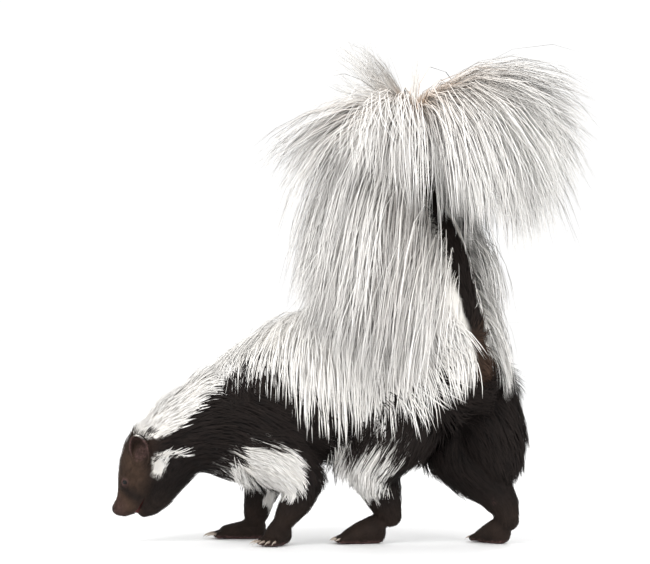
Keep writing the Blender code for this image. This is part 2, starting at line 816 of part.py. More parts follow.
def tail_locks(nodes, home):
    """The plume: tiers of long locks that leave the tail on all sides and spill down."""
    draw = random.Random(SEED)
    blocked = [surface(node) for name, node in nodes.items() if name != "tail"]
    made = []
    for tier, (share, count, length, rise, fall, half_width) in enumerate(TAIL_TIERS):
        root, up_tail = point_along(TAIL, share)
        for index in range(count):
            turn = 2 * math.pi * (index + 0.5 * (tier % 2) + draw.uniform(-0.25, 0.25)) / count
            radial = Vector((math.cos(turn), math.sin(turn), 0))
            radial = (radial - up_tail * radial.dot(up_tail)).normalized()
            reach = length * MM * draw.uniform(0.86, 1.12) * (1 - LEFT_SHORTER * max(0.0, -radial.x))
            pitch = math.radians(rise + draw.uniform(-9, 9))
            heading = radial * math.cos(pitch) + up_tail * math.sin(pitch)
            curl = radial.cross(UP) * draw.uniform(-0.5, 0.5)
            sag = fall * draw.uniform(0.85, 1.15)
            start = root + up_tail * draw.uniform(-9, 9) * MM + radial * 4 * MM
            if share < STRIP_TOP and radial.dot(STRIP_FACING) > STRIP_WIDTH:
                continue

            def path_for(shorten):
                path = falling_path(start, heading, reach * shorten, sag, curl)
                return held_off(path, blocked, CLEARANCE + 3 * MM)

            wide = half_width * draw.uniform(0.85, 1.15)
            lock = try_lock(path_for, radial.cross(UP), wide, home, blocked)
            if lock:
                made.append(lock)
    combine(nodes["tail"], made, "UNION", ("MANIFOLD",))
    keep_largest(nodes["tail"])


def coat_locks(nodes, coat, home):
    """One patch of long coat: rows of overlapping locks fused to their node."""
    draw = random.Random(SEED + len(coat["node"]))
    own = surface(nodes[coat["node"]])
    blocked = [surface(node) for name, node in nodes.items() if name != coat["node"]]
    low, high = coat["stretch"]
    made = []
    for row in range(coat["rows"]):
        for column, across in enumerate(coat["angles"]):
            share = low + (high - low) * (row + 0.5 * (column % 2) + draw.uniform(-0.2, 0.2)) / coat["rows"]
            centre, ahead = point_along(coat["line"], min(max(share, 0), 1))
            facing = (coat["facing"] - ahead * coat["facing"].dot(ahead)).normalized()
            angle = math.radians(across + draw.uniform(-6, 6))
            ray = facing * math.cos(angle) + ahead.cross(facing) * math.sin(angle)
            start, normal, _face, _far = own.ray_cast(centre + ray * 0.3, -ray)
            if not start:
                continue
            aside = min(abs(across) / 90, 1)
            lie = ahead + coat["drift"][0].lerp(coat["drift"][1], aside)
            lie = (lie - normal * lie.dot(normal)).normalized()
            grown = min(1.0, coat["first_row"] + row / 4)
            lift = math.radians(coat["lift"][0] * (1 - aside) + coat["lift"][1] * aside + draw.uniform(-6, 6))
            lift *= grown
            heading = lie * math.cos(lift) + normal * math.sin(lift)
            length = coat["length"] * MM * draw.uniform(0.85, 1.15) * grown
            root = start - normal * 5 * MM - heading * 4 * MM

            def path_for(shorten):
                path = falling_path(root, heading, length * shorten, 0.2, Vector((0, 0, 0)))
                return held_off(held_off(path, [own], 3 * MM), blocked, CLEARANCE)

            wide = coat["half_width"] * draw.uniform(0.85, 1.1)
            lock = try_lock(path_for, heading.cross(normal), wide, home, blocked)
            if lock:
                made.append(lock)
    combine(nodes[coat["node"]], made, "UNION", ("MANIFOLD",))
    keep_largest(nodes[coat["node"]])


def centre_on_floor(nodes):
    """Move everything so that the origin is the middle of the model's box, on the floor."""
    corners = np.array([v.co for node in nodes.values() for v in node.data.vertices])
    middle = (corners.min(0) + corners.max(0)) / 2
    shift = Matrix.Translation((-middle[0], -middle[1], -corners[:, 2].min()))
    for node in nodes.values():
        node.data.transform(shift)


def main():
    """Build every node."""
    clear_scene()
    home = bpy.data.collections.new("striped_skunk")
    bpy.context.scene.collection.children.link(home)
    black = material("black_coat", (0.018, 0.015, 0.014), 0.75)
    white = material("white_coat", (0.80, 0.76, 0.70), 0.8)
    skin = material("dark_skin", (0.075, 0.045, 0.042), 0.6)
    eye = material("eye", (0.008, 0.007, 0.006), 0.08)
    finishes = {name: black for name in NODES}
    finishes.update(torso=white, tail=white, neck=white, nose=skin)
    for name in PAWS:
        finishes[name] = skin
    body = face_forms(whole_flesh(home), home)
    nodes = part_nodes(body, home, finishes)
    nostrils(nodes, home)
    eyes(nodes, home, eye)
    ears(nodes, home, skin)
    claws(nodes, home)
    tail_locks(nodes, home)
    for coat in COATS:
        coat_locks(nodes, coat, home)
    centre_on_floor(nodes)


main()
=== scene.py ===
"""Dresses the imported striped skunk: one skin, a coat of solid tufts, eyes, claws and the studio.

All sizes are in millimetres, in the frame of the part's own station tables: X runs from nose to tail, -Y is the
left flank, and Z is up from the floor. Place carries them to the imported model's frame, in metres.
"""

import logging
import math
from dataclasses import dataclass, field
from enum import Enum

import bmesh
import bpy
import numpy as np
from mathutils import Matrix, Vector
from mathutils.bvhtree import BVHTree
from mathutils.kdtree import KDTree

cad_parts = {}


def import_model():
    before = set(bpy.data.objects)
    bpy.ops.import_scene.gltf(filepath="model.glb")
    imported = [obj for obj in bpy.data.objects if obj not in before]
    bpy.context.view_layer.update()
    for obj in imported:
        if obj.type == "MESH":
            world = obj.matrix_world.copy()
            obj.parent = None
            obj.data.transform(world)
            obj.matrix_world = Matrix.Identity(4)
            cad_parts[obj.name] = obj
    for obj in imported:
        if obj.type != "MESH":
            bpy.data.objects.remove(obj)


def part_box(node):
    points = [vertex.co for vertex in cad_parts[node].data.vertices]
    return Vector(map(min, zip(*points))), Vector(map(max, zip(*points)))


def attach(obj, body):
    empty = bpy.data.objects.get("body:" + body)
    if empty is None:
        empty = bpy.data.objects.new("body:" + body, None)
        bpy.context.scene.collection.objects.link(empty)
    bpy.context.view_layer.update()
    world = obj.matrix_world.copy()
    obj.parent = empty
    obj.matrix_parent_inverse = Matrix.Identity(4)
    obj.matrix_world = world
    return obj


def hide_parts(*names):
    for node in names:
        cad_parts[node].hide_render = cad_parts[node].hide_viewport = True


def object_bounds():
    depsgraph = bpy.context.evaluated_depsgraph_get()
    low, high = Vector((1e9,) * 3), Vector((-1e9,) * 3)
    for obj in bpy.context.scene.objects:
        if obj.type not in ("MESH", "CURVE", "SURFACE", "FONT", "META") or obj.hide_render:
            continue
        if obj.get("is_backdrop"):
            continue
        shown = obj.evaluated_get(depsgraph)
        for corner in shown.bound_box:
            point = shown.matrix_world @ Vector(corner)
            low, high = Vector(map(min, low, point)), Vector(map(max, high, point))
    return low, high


LOG = logging.getLogger("skunk")
MM = 0.001
UP = np.array((0.0, 0.0, 1.0))
MOST_FACES = 190_000  # triangles in one piece of the coat
PELVIS_TURN = math.radians(45)
TO_RIGHT = np.array((math.sin(PELVIS_TURN), math.cos(PELVIS_TURN), 0.0))
TO_REAR = np.array((math.cos(PELVIS_TURN), -math.sin(PELVIS_TURN), 0.0))
LIP_LINE = ((-187, 5, 24.5), (-181, 9.5, 25.2), (-175, 11.5, 28.5), (-170, 13, 35), (-165, 15, 42))

Colour = tuple[float, float, float]
Point = tuple[float, float, float]
Array = np.ndarray


class Side(Enum):
    """Which way is sideways for a run of stations."""

    LEVEL = "level"
    LEG = "leg"
    HIP = "hip"


class Lie(Enum):
    """How finely a region's tufts bend: points along each."""

    SHORT = 3
    MIDDLE = 4
    LONG = 5


def unit(vectors: Array) -> Array:
    """The vectors at length 1."""
    return vectors / np.maximum(np.linalg.norm(vectors, axis=-1, keepdims=True), 1e-9)


def smooth_step(low: float, high: float, values: Array) -> Array:
    """0 below low, 1 above high, and a smooth rise between."""
    t = np.clip((values - low) / (high - low), 0, 1)
    return t * t * (3 - 2 * t)


def ripple(points: Array, size: float, phase: float = 0.0) -> Array:
    """A smooth irregular wave over space.

    Args:
        points: Places in millimetres.
        size: Rough width of one wave.
        phase: Picks another pattern.

    Returns:
        A number from about -1 to 1 for each point.
    """
    x, y, z = (points / size).T
    first = np.sin(2.1 * x + 1.7 * z + 1.3 * np.sin(1.9 * y + phase) + phase)
    second = np.sin(2.7 * z - 1.3 * y + 1.1 * np.sin(2.3 * x + 2 * phase) + 2.4 * phase)
    third = np.sin(4.9 * x - 3.7 * y + 4.3 * z + 1.7 * phase)
    return 0.42 * first + 0.38 * second + 0.2 * third


def stroke(points: Array, line: tuple[Point, ...]) -> Array:
    """Distance from each point to a broken line.

    Args:
        points: Places in millimetres.
        line: Corners of the line.

    Returns:
        The distances in millimetres.
    """
    near = np.full(len(points), 1e9)
    for a, b in zip(np.array(line, float), np.array(line[1:], float)):
        along = b - a
        t = np.clip((points - a) @ along / max(along @ along, 1e-9), 0, 1)
        near = np.minimum(near, np.linalg.norm(points - a - t[:, None] * along, axis=1))
    return near


@dataclass(frozen=True)
class Place:
    """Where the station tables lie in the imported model's frame."""

    across: float
    aside: float

    @classmethod
    def of_frame(cls) -> "Place":
        """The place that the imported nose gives."""
        low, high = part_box("nose")
        return cls(low[0] + 0.1959, (low[1] + high[1]) / 2)

    def metres(self, points: Array) -> Array:
        """Points of the model in metres."""
        return np.asarray(points, float) * MM + np.array((self.across, self.aside, 0.0))

    def vector(self, point: Point) -> Vector:
        """One point of the model in metres."""
        return Vector(self.metres(np.array(point)))


class Value:
    """A number socket that takes part in Python sums and products."""

    def __init__(self, book: "NodeBook", socket: bpy.types.NodeSocket) -> None:
        """Wrap one output socket of a book's tree."""
        self.book = book
        self.socket = socket

    def _sum(self, operation: str, *inputs: "Value | float") -> "Value":
        """One Math node on the inputs."""
        node = self.book.add("ShaderNodeMath", {"operation": operation}, dict(enumerate(inputs)))
        return Value(self.book, node.outputs[0])

    def __add__(self, other: "Value | float") -> "Value":
        """This plus other."""
        return self._sum("ADD", self, other)

    __radd__ = __add__

    def __mul__(self, other: "Value | float") -> "Value":
        """This times other."""
        return self._sum("MULTIPLY", self, other)

    __rmul__ = __mul__

    def __sub__(self, other: "Value | float") -> "Value":
        """This less other."""
        return self._sum("SUBTRACT", self, other)

    def __rsub__(self, other: "Value | float") -> "Value":
        """Other less this."""
        return self._sum("SUBTRACT", other, self)

    def __pow__(self, power: float) -> "Value":
        """This to a power."""
        return self._sum("POWER", self, power)

    def between(self, low: float, high: float) -> "Value":
        """A smooth rise from 0 at low to 1 at high."""
        settings = {"interpolation_type": "SMOOTHSTEP"}
        node = self.book.add("ShaderNodeMapRange", settings, {0: self, 1: low, 2: high, 3: 0.0, 4: 1.0})
        return Value(self.book, node.outputs[0])


class NodeBook:
    """The node tree of one material."""

    def __init__(self, name: str) -> None:
        """Make a material with a Principled shader and nothing else."""
        self.material = bpy.data.materials.new(name)
        self.material.use_nodes = True
        self.tree = self.material.node_tree
        self.shader = self.tree.nodes["Principled BSDF"]

    def add(self, kind: str, settings: dict, sockets: dict) -> bpy.types.Node:
        """Add a node.

        Args:
            kind: The node's type.
            settings: Its settings, which are set first.
            sockets: Numbers, colours, Values or output sockets by input name or index.

        Returns:
            The new node.
        """
        node = self.tree.nodes.new(kind)
        for name, setting in settings.items():
            setattr(node, name, setting)
        self.feed(node, sockets)
        return node

    def feed(self, node: bpy.types.Node, sockets: dict) -> None:
        """Set or link a node's inputs.

        Args:
            node: The node to feed.
            sockets: Numbers, colours, Values or output sockets by input name or index.
        """
        for key, given in sockets.items():
            given = given.socket if isinstance(given, Value) else given
            if isinstance(given, bpy.types.NodeSocket):
                self.tree.links.new(given, node.inputs[key])
            elif isinstance(given, tuple) and node.inputs[key].type == "RGBA":
                node.inputs[key].default_value = (*given, 1)
            else:
                node.inputs[key].default_value = given

    def attribute(self, name: str) -> Value:
        """A number that the mesh carries."""
        node = self.add("ShaderNodeAttribute", {"attribute_name": name}, {})
        return Value(self, node.outputs["Fac"])

    def noise(self, scale: float, detail: float = 2.0, stretch: Point = (1, 1, 1)) -> Value:
        """Noise over the object's space.

        Args:
            scale: Waves per metre.
            detail: Octaves.
            stretch: How much denser the waves are along each axis.

        Returns:
            The noise, from 0 to 1.
        """
        place = self.add("ShaderNodeTexCoord", {}, {}).outputs["Object"]
        scaled = self.add("ShaderNodeVectorMath", {"operation": "MULTIPLY"}, {0: place, 1: stretch})
        node = self.add("ShaderNodeTexNoise", {}, {"Vector": scaled.outputs[0], "Scale": scale, "Detail": detail})
        return Value(self, node.outputs[0])

    def mix(self, share: "Value | float", first: object, second: object, how: str = "MIX") -> bpy.types.NodeSocket:
        """Mix two colours.

        Args:
            share: How much of the second colour.
            first: A colour or a colour socket.
            second: A colour or a colour socket.
            how: The way to blend.

        Returns:
            The mixed colour's socket.
        """
        node = self.add("ShaderNodeMix", {"data_type": "RGBA", "blend_type": how}, {0: share, 6: first, 7: second})
        return node.outputs[2]

    def bump(self, height: Value, strength: float, distance: float) -> bpy.types.NodeSocket:
        """A normal that a height bends.

        Args:
            height: The height.
            strength: Share of the effect.
            distance: Height of one unit in metres.

        Returns:
            The normal's socket.
        """
        node = self.add("ShaderNodeBump", {}, {"Strength": strength, "Distance": distance, "Height": height})
        return node.outputs["Normal"]


@dataclass(frozen=True)
class CoatFinish:
    """Hair, black to white by the mark that the mesh carries, lighter or browner from tuft to tuft; white hair is
    creamer and darker at its roots, partly a real beige undertone and partly painted shade deep in the coat.
    """

    black: Colour = (0.0055, 0.0045, 0.0045)
    black_tint: Colour = (0.014, 0.010, 0.009)
    black_tip: Colour = (0.036, 0.027, 0.023)
    white: Colour = (0.97, 0.955, 0.93)
    white_tint: Colour = (0.95, 0.92, 0.875)
    # Root colour of the white hair: partly a real beige undertone, partly painted shade deep in the coat.
    white_root: Colour = (0.90, 0.85, 0.77)
    brown: Colour = (0.115, 0.068, 0.045)
    rust: Colour = (0.62, 0.33, 0.13)

    def hair(self, book: NodeBook, along: "Value | float") -> bpy.types.NodeSocket:
        """The hair's colour.

        Args:
            book: The tree to add to.
            along: Share of the way from root to tip.

        Returns:
            The colour's socket.
        """
        tint = book.attribute("tint")
        black = book.mix(tint, self.black, self.black_tint)
        white = book.mix(tint, self.white, self.white_tint)
        if isinstance(along, Value):
            black = book.mix(along * along * 0.45, black, self.black_tip)
            # Painted shade: white hair darkens towards its roots, deep in the coat, on top of a real beige undertone.
            white = book.mix((1 - along) ** 2.0 * 0.55, white, self.white_root)
        else:
            # The skin under white hair takes half the root colour, painted shade included.
            white = book.mix(0.5, white, self.white_root)
        colour = book.mix(book.attribute("pale"), black, white)
        colour = book.mix(book.attribute("brown"), colour, self.brown)
        return book.mix(book.attribute("rust") * (1 - along) ** 3.0, colour, self.rust)

    def build(self, name: str) -> bpy.types.Material:
        """The material for the tufts.

        Args:
            name: The material's name.

        Returns:
            The material.
        """
        book = NodeBook(name)
        colour = self.hair(book, book.attribute("along"))
        shade = book.noise(700.0, 2.0) * 0.4 + 0.8
        grey = book.add("ShaderNodeCombineColor", {}, {0: shade, 1: shade, 2: shade}).outputs[0]
        colour = book.mix(0.4, colour, grey, "MULTIPLY")
        book.feed(book.shader, {
            "Base Color": colour,
            "Roughness": book.attribute("pale") * 0.1 + 0.62,
            "Specular IOR Level": 0.1,
        })
        return book.material


@dataclass(frozen=True)
class SkinFinish:
    """The skin: under the coat it carries the coat's marks, and it is bare on nose, lips, palms and inner ears."""

    coat: CoatFinish = field(default_factory=CoatFinish)
    bare: Colour = (0.125, 0.068, 0.064)
    bare_deep: Colour = (0.06, 0.034, 0.033)
    pad: Colour = (0.03, 0.02, 0.019)
    wet: Colour = (0.085, 0.024, 0.022)

    def build(self, name: str) -> bpy.types.Material:
        """The material for the skin.

        Args:
            name: The material's name.

        Returns:
            The material.
        """
        book = NodeBook(name)
        bare, pad, wet = (book.attribute(mark) for mark in ("bare", "pad", "wet"))
        colour = self.coat.hair(book, 0.3)
        mottle = book.noise(260.0, 4.0).between(0.35, 0.65)
        leather = book.mix(mottle, self.bare_deep, self.bare)
        colour = book.mix(bare, colour, leather)
        colour = book.mix(pad, colour, self.pad)
        colour = book.mix(wet, colour, self.wet)
        creases = book.noise(900.0, 3.0, (1.0, 1.0, 0.5))
        cells = book.add("ShaderNodeTexVoronoi", {"feature": "DISTANCE_TO_EDGE"}, {
            "Vector": book.add("ShaderNodeTexCoord", {}, {}).outputs["Object"], "Scale": 1500.0,
        })
        grain = Value(book, cells.outputs["Distance"]).between(0.0, 0.25)
        height = creases * (1 - pad) + grain * pad * 0.7 + grain * bare * 0.35
        book.feed(book.shader, {
            "Base Color": colour,
            "Roughness": 0.7 - pad * 0.28 - wet * 0.4,
            "Specular IOR Level": 0.12,
            "Normal": book.bump(height, 0.5, 0.00012),
        })
        return book.material


@dataclass(frozen=True)
class EyeFinish:
    """A wet eye: a very dark brown iris round a black pupil."""

    iris: Colour = (0.02, 0.0095, 0.006)
    pupil: Colour = (0.002, 0.002, 0.002)

    def build(self, name: str) -> bpy.types.Material:
        """The material for the eyeballs.

        Args:
            name: The material's name.

        Returns:
            The material.
        """
        book = NodeBook(name)
        ring = book.attribute("axis").between(0.78, 0.86)
        streaks = book.noise(2600.0, 3.0) * 0.6
        iris = book.mix(streaks, self.iris, self.pupil)
        book.feed(book.shader, {
            "Base Color": book.mix(ring, iris, self.pupil),
            "Roughness": 0.05,
            "Specular IOR Level": 0.22,
        })
        return book.material


@dataclass(frozen=True)
class ClawFinish:
    """Pale horn, browner towards the toe and worn light at the tip."""

    root: Colour = (0.15, 0.095, 0.07)
    tip: Colour = (0.52, 0.45, 0.38)

    def build(self, name: str) -> bpy.types.Material:
        """The material for the claws.

        Args:
            name: The material's name.

        Returns:
            The material.
        """
        book = NodeBook(name)
        growth = book.noise(1400.0, 3.0, (1.0, 1.0, 0.25))
        along = book.attribute("along").between(0.05, 0.8)
        colour = book.mix(along, self.root, self.tip)
        colour = book.mix(growth.between(0.4, 0.7) * 0.35, colour, self.root)
        book.feed(book.shader, {
            "Base Color": colour,
            "Roughness": growth * 0.2 + 0.28,
            "Normal": book.bump(growth, 0.3, 0.0002),
        })
        return book.material


@dataclass(frozen=True)
class Chain:
    """Ellipsoid stations along one part of the body, in the order in which its hair lies."""

    name: str
    side: Side
    stations: tuple
    coat: tuple[float, ...]
    inset: float = 0.0
    grooms: bool = True

    def run(self) -> tuple[Array, Array]:
        """The stations' centres and each one's share of the way along."""
        centres = np.array([station[:3] for station in self.stations], float)
        steps = np.linalg.norm(np.diff(centres, axis=0), axis=1)
        return centres, np.concatenate(((0,), np.cumsum(steps))) / steps.sum()

    def sideways(self, heading: Array) -> Array:
        """Sideways for a heading.

        Args:
            heading: The way that the chain runs.

        Returns:
            The direction across it.
        """
        if self.side is Side.LEVEL:
            return np.cross(UP, heading)
        if self.side is Side.HIP:
            return unit(np.array((0.0, 1.0, 0.0)) + TO_RIGHT)
        return np.array((0.0, 1.0, 0.0))

    def clouds(self, sphere: Array) -> list[Array]:
        """Points on the ellipsoid of each station.

        Args:
            sphere: Points on a unit sphere.

        Returns:
            One array of points for each station.
        """
        centres = np.array([station[:3] for station in self.stations], float)
        clouds = []
        for index, station in enumerate(self.stations):
            ahead = centres[min(index + 1, len(centres) - 1)]
            heading = unit(ahead - centres[max(index - 1, 0)])
            side = self.sideways(heading)
            side = unit(side - heading * (side @ heading))
            depth = np.cross(heading, side)
            half_depth = max(station[3] - self.inset, 2.5)
            half_side = max(station[4] - self.inset, 2.5)
            half_long = station[5] if len(station) > 5 else 0.9 * min(half_depth, half_side)
            axes = np.array((heading * half_long, side * half_side, depth * half_depth))
            clouds.append(centres[index] + sphere @ axes)
        return clouds


CHAINS = (
    Chain("torso", Side.LEVEL, (
        (-118, 2, 107, 44, 36), (-100, 4, 113, 54, 43), (-82, 6, 116, 60, 47), (-56, 9, 120, 64, 49),
        (-20, 15, 136, 65, 52), (25, 19, 146, 67, 55), (68, 16, 156, 65, 56), (103, 2, 161, 60, 54),
        (128, -15, 165, 48, 47), (141, -26, 170, 34, 34),
    ), (20, 22, 24, 26, 28, 30, 30, 28, 26, 22), 5.0),
    Chain("neck", Side.LEG, (
        (-155, 0, 93, 25, 24), (-143, 0, 97, 34, 29), (-132, 1, 102, 40, 33), (-118, 2, 107, 44, 36),
    ), (9, 12, 15, 19), 3.0),
    Chain("skull", Side.LEG, (
        (-189.8, 0, 32.4, 7.2, 7.2), (-184.5, 0, 38.5, 7.9, 9.4), (-180, 0, 50, 10.6, 12.5), (-175, 0, 60, 15.4, 17.5),
        (-168.5, 0, 72, 21, 23.5), (-162.5, 0, 84, 23.5, 25), (-155, 0, 93, 25.5, 25),
    ), (1.2, 1.7, 2.4, 3.2, 4.4, 6.5, 9), 0.5),
    Chain("muzzle", Side.LEG, (
        (-184.5, 0, 32.8, 8.2, 9.6), (-178, 0, 35.5, 8.8, 11), (-170, 0, 50, 13, 16), (-163, 0, 66, 19, 22),
    ), (1.3, 1.8, 2.8, 4), 0.5),
    Chain("jaw", Side.LEG, (
        (-165.8, 0, 30.2, 6.4, 6.6), (-158.5, 0, 35, 9.5, 10), (-151, 0, 46, 14, 16.5), (-144, 0, 62, 19, 22),
        (-138, 0, 76, 24, 26),
    ), (1.6, 2.6, 4.5, 7, 10), 0.6),
    Chain("foreleg_left", Side.LEG, (
        (-62, -14, 104, 36, 24), (-36, -20, 80, 29, 20), (-12, -24, 60, 20, 16.5), (-20, -23, 42, 16.5, 14.5),
        (-31, -21, 25, 12, 11.5),
    ), (20, 16, 12, 7, 4), 1.8),
    Chain("foreleg_right", Side.LEG, (
        (-70, 32, 104, 34, 24), (-54, 38, 78, 26, 19), (-50, 42, 58, 20, 16.5), (-56, 44, 42, 16.5, 14.5),
        (-60, 44, 24, 13.5, 12.5),
    ), (20, 16, 12, 7, 4), 1.8),
    Chain("hindleg_left", Side.HIP, (
        (94, -18, 146, 46, 32), (72, -24, 112, 42, 29), (48, -20, 76, 28, 23), (58, -12, 56, 21.5, 17),
        (64, -6, 38, 17, 13.5), (69, -3, 25, 12.5, 12),
    ), (28, 26, 20, 14, 7, 4), 2.2),
    Chain("hindleg_right", Side.HIP, (
        (134, 22, 146, 46, 32), (130, 24, 116, 43, 30), (126, 22, 92, 31, 25), (146, 14, 72, 29, 22),
        (164, 4, 54, 21.5, 18.5), (177, -7, 36, 16, 14.5), (180, -10, 22, 12.5, 12),
    ), (30, 28, 24, 20, 10, 5.5, 4), 2.2),
    Chain("hamstring_right", Side.HIP, (
        (148, 14, 142, 40, 34), (164, 6, 108, 33, 29), (172, 2, 80, 24, 22),
    ), (30, 28, 20), 2.2),
    Chain("tail", Side.LEG, (
        (141, -24, 182, 24, 24), (143, -25, 208, 20, 20), (137, -21, 237, 18, 18), (131, -16, 269, 17, 17),
        (119, -8, 302, 16, 16), (104, 0, 328, 15, 15), (95, 6, 356, 14, 14), (92, 10, 384, 13, 13),
        (93, 13, 408, 10, 10),
    ), (14, 13, 12, 12, 12, 12, 12, 12, 12), 4.0),
    Chain("back_core", Side.LEVEL, (
        (-128, 2, 110, 34, 32, 16), (-96, 5, 120, 46, 40, 20), (-58, 9, 138, 56, 48, 22), (-16, 15, 158, 64, 52, 24),
        (30, 18, 170, 68, 54, 26), (74, 12, 176, 64, 54, 24), (104, 0, 176, 54, 50, 18),
    ), (30,) * 7, 6.0, False),
    Chain("swirl_core", Side.LEVEL, (
        (120, -18, 205, 34, 30, 20), (104, -22, 226, 34, 30, 24), (94, -14, 236, 28, 26, 22),
    ), (34,) * 3, 2.0, False),
)


@dataclass(frozen=True)
class Paw:
    """One paw, from heel to toes."""

    name: str
    heel: tuple[float, float]
    toes: tuple[float, float]
    lift: float
    half: float
    claw: float
    toe_count: int = 5
    toe_radius: float = 4.0
    toe_length: float = 10.0

    def axes(self) -> tuple[Array, Array, Array, Array]:
        """Heel, toes, forward and sideways."""
        heel, toes = (np.array((*spot, 0.0)) for spot in (self.heel, self.toes))
        forward = unit(toes - heel)
        return heel, toes, forward, np.cross(UP, forward)

    def toe_lines(self) -> list[tuple[Array, Array, Array]]:
        """Root, end and direction of each toe."""
        _heel, toes, forward, side = self.axes()
        lines = []
        for index in range(self.toe_count):
            spread = (index - (self.toe_count - 1) / 2) / ((self.toe_count - 1) / 2)
            turn = math.radians(16 * spread)
            ahead = forward * math.cos(turn) + side * math.sin(turn)
            root = toes + side * (spread * (self.half - self.toe_radius)) - ahead * 3.2 * spread**2 + UP * 5
            lines.append((root, root + ahead * self.toe_length - UP * 1.2, ahead))
        return lines

    def chains(self) -> list[Chain]:
        """The palm and the toes as stations."""
        heel, toes, _forward, _side = self.axes()
        mid = (heel + toes) / 2
        palm = (
            (*heel[:2], self.lift, self.lift + 1.5, self.half - 1),
            (*mid[:2], self.lift * 0.75, self.lift * 0.75 + 2, self.half),
            (*toes[:2], 6, 7.4, self.half),
        )
        chains = [PawChain(self.name, Side.LEG, palm, (3, 2.6, 2.2), 0.7, True, self)]
        for root, end, _ahead in self.toe_lines():
            start = root - (end - root) * 0.3
            mid = (start + end) / 2 + UP * 0.7
            toe = ((*start, 4.4, 4.0), (*mid, 3.9, 3.6), (*end, 3.8, 3.5))
            chains.append(PawChain(self.name, Side.LEG, toe, (2.2, 2.0, 1.8), 0.3, True, self))
        return chains


@dataclass(frozen=True)
class PawChain(Chain):
    """Stations of a paw, which take the paw's own sideways direction."""

    paw: Paw | None = None

    def sideways(self, heading: Array) -> Array:
        """The paw's sideways direction."""
        return self.paw.axes()[3]


PAWS = (
    Paw("forepaw_left", (-35, -19), (-43, -30), 13, 12, 13),
    Paw("forepaw_right", (-60, 44), (-89, 46), 10, 13, 13),
    Paw("hindpaw_left", (54, -3), (28, -5), 13, 13, 8),
    Paw("hindpaw_right", (172, -5), (159, 12), 12, 13, 8),
)
ALL_CHAINS = CHAINS + tuple(chain for paw in PAWS for chain in paw.chains())


@dataclass
class Reading:
    """What the groom says at some points."""

    flow: Array
    coat: Array
    chain: Array
    share: Array
    out: Array


class Groom:
    """The lie and length of the coat, blended between the body's chains."""

    def __init__(self, chains: tuple[Chain, ...]) -> None:
        """Keep each stretch between two stations.

        Args:
            chains: The body's chains.
        """
        self.names = [chain.name for chain in chains]
        rows = []
        for number, chain in enumerate(chains):
            if not chain.grooms:
                continue
            centres, shares = chain.run()
            sizes = [(s[3] + s[4]) / 2 - chain.inset for s in chain.stations]
            for i in range(len(centres) - 1):
                rows.append((
                    *centres[i], *centres[i + 1], sizes[i], sizes[i + 1], chain.coat[i], chain.coat[i + 1],
                    shares[i], shares[i + 1], number,
                ))
        self.rows = np.array(rows)

    def read(self, points: Array) -> Reading:
        """The groom at points.

        Args:
            points: Places in millimetres.

        Returns:
            The reading.
        """
        parts = [self._read(points[i:i + 20_000]) for i in range(0, len(points), 20_000)]
        return Reading(*(np.concatenate(column) for column in zip(*parts)))

    def _read(self, points: Array) -> tuple[Array, ...]:
        """The groom at a few thousand points, as bare arrays."""
        rows = self.rows
        a, b = rows[:, 0:3], rows[:, 3:6]
        along = b - a
        gap = points[:, None, :] - a
        t = np.clip(np.einsum("nsk,sk->ns", gap, along) / (along**2).sum(1), 0, 1)
        away = gap - t[..., None] * along
        far = np.linalg.norm(away, axis=2)
        ratio = far / (rows[:, 6] * (1 - t) + rows[:, 7] * t)
        weight = np.exp(-7.0 * (ratio - ratio.min(1, keepdims=True)))
        weight /= weight.sum(1, keepdims=True)
        flow = unit(weight @ unit(along))
        coat = (weight * (rows[:, 8] * (1 - t) + rows[:, 9] * t)).sum(1)
        best = weight.argmax(1)
        every = np.arange(len(points))
        share = (rows[:, 10] * (1 - t) + rows[:, 11] * t)[every, best]
        return flow, coat, rows[best, 12].astype(int), share, unit(away[every, best])


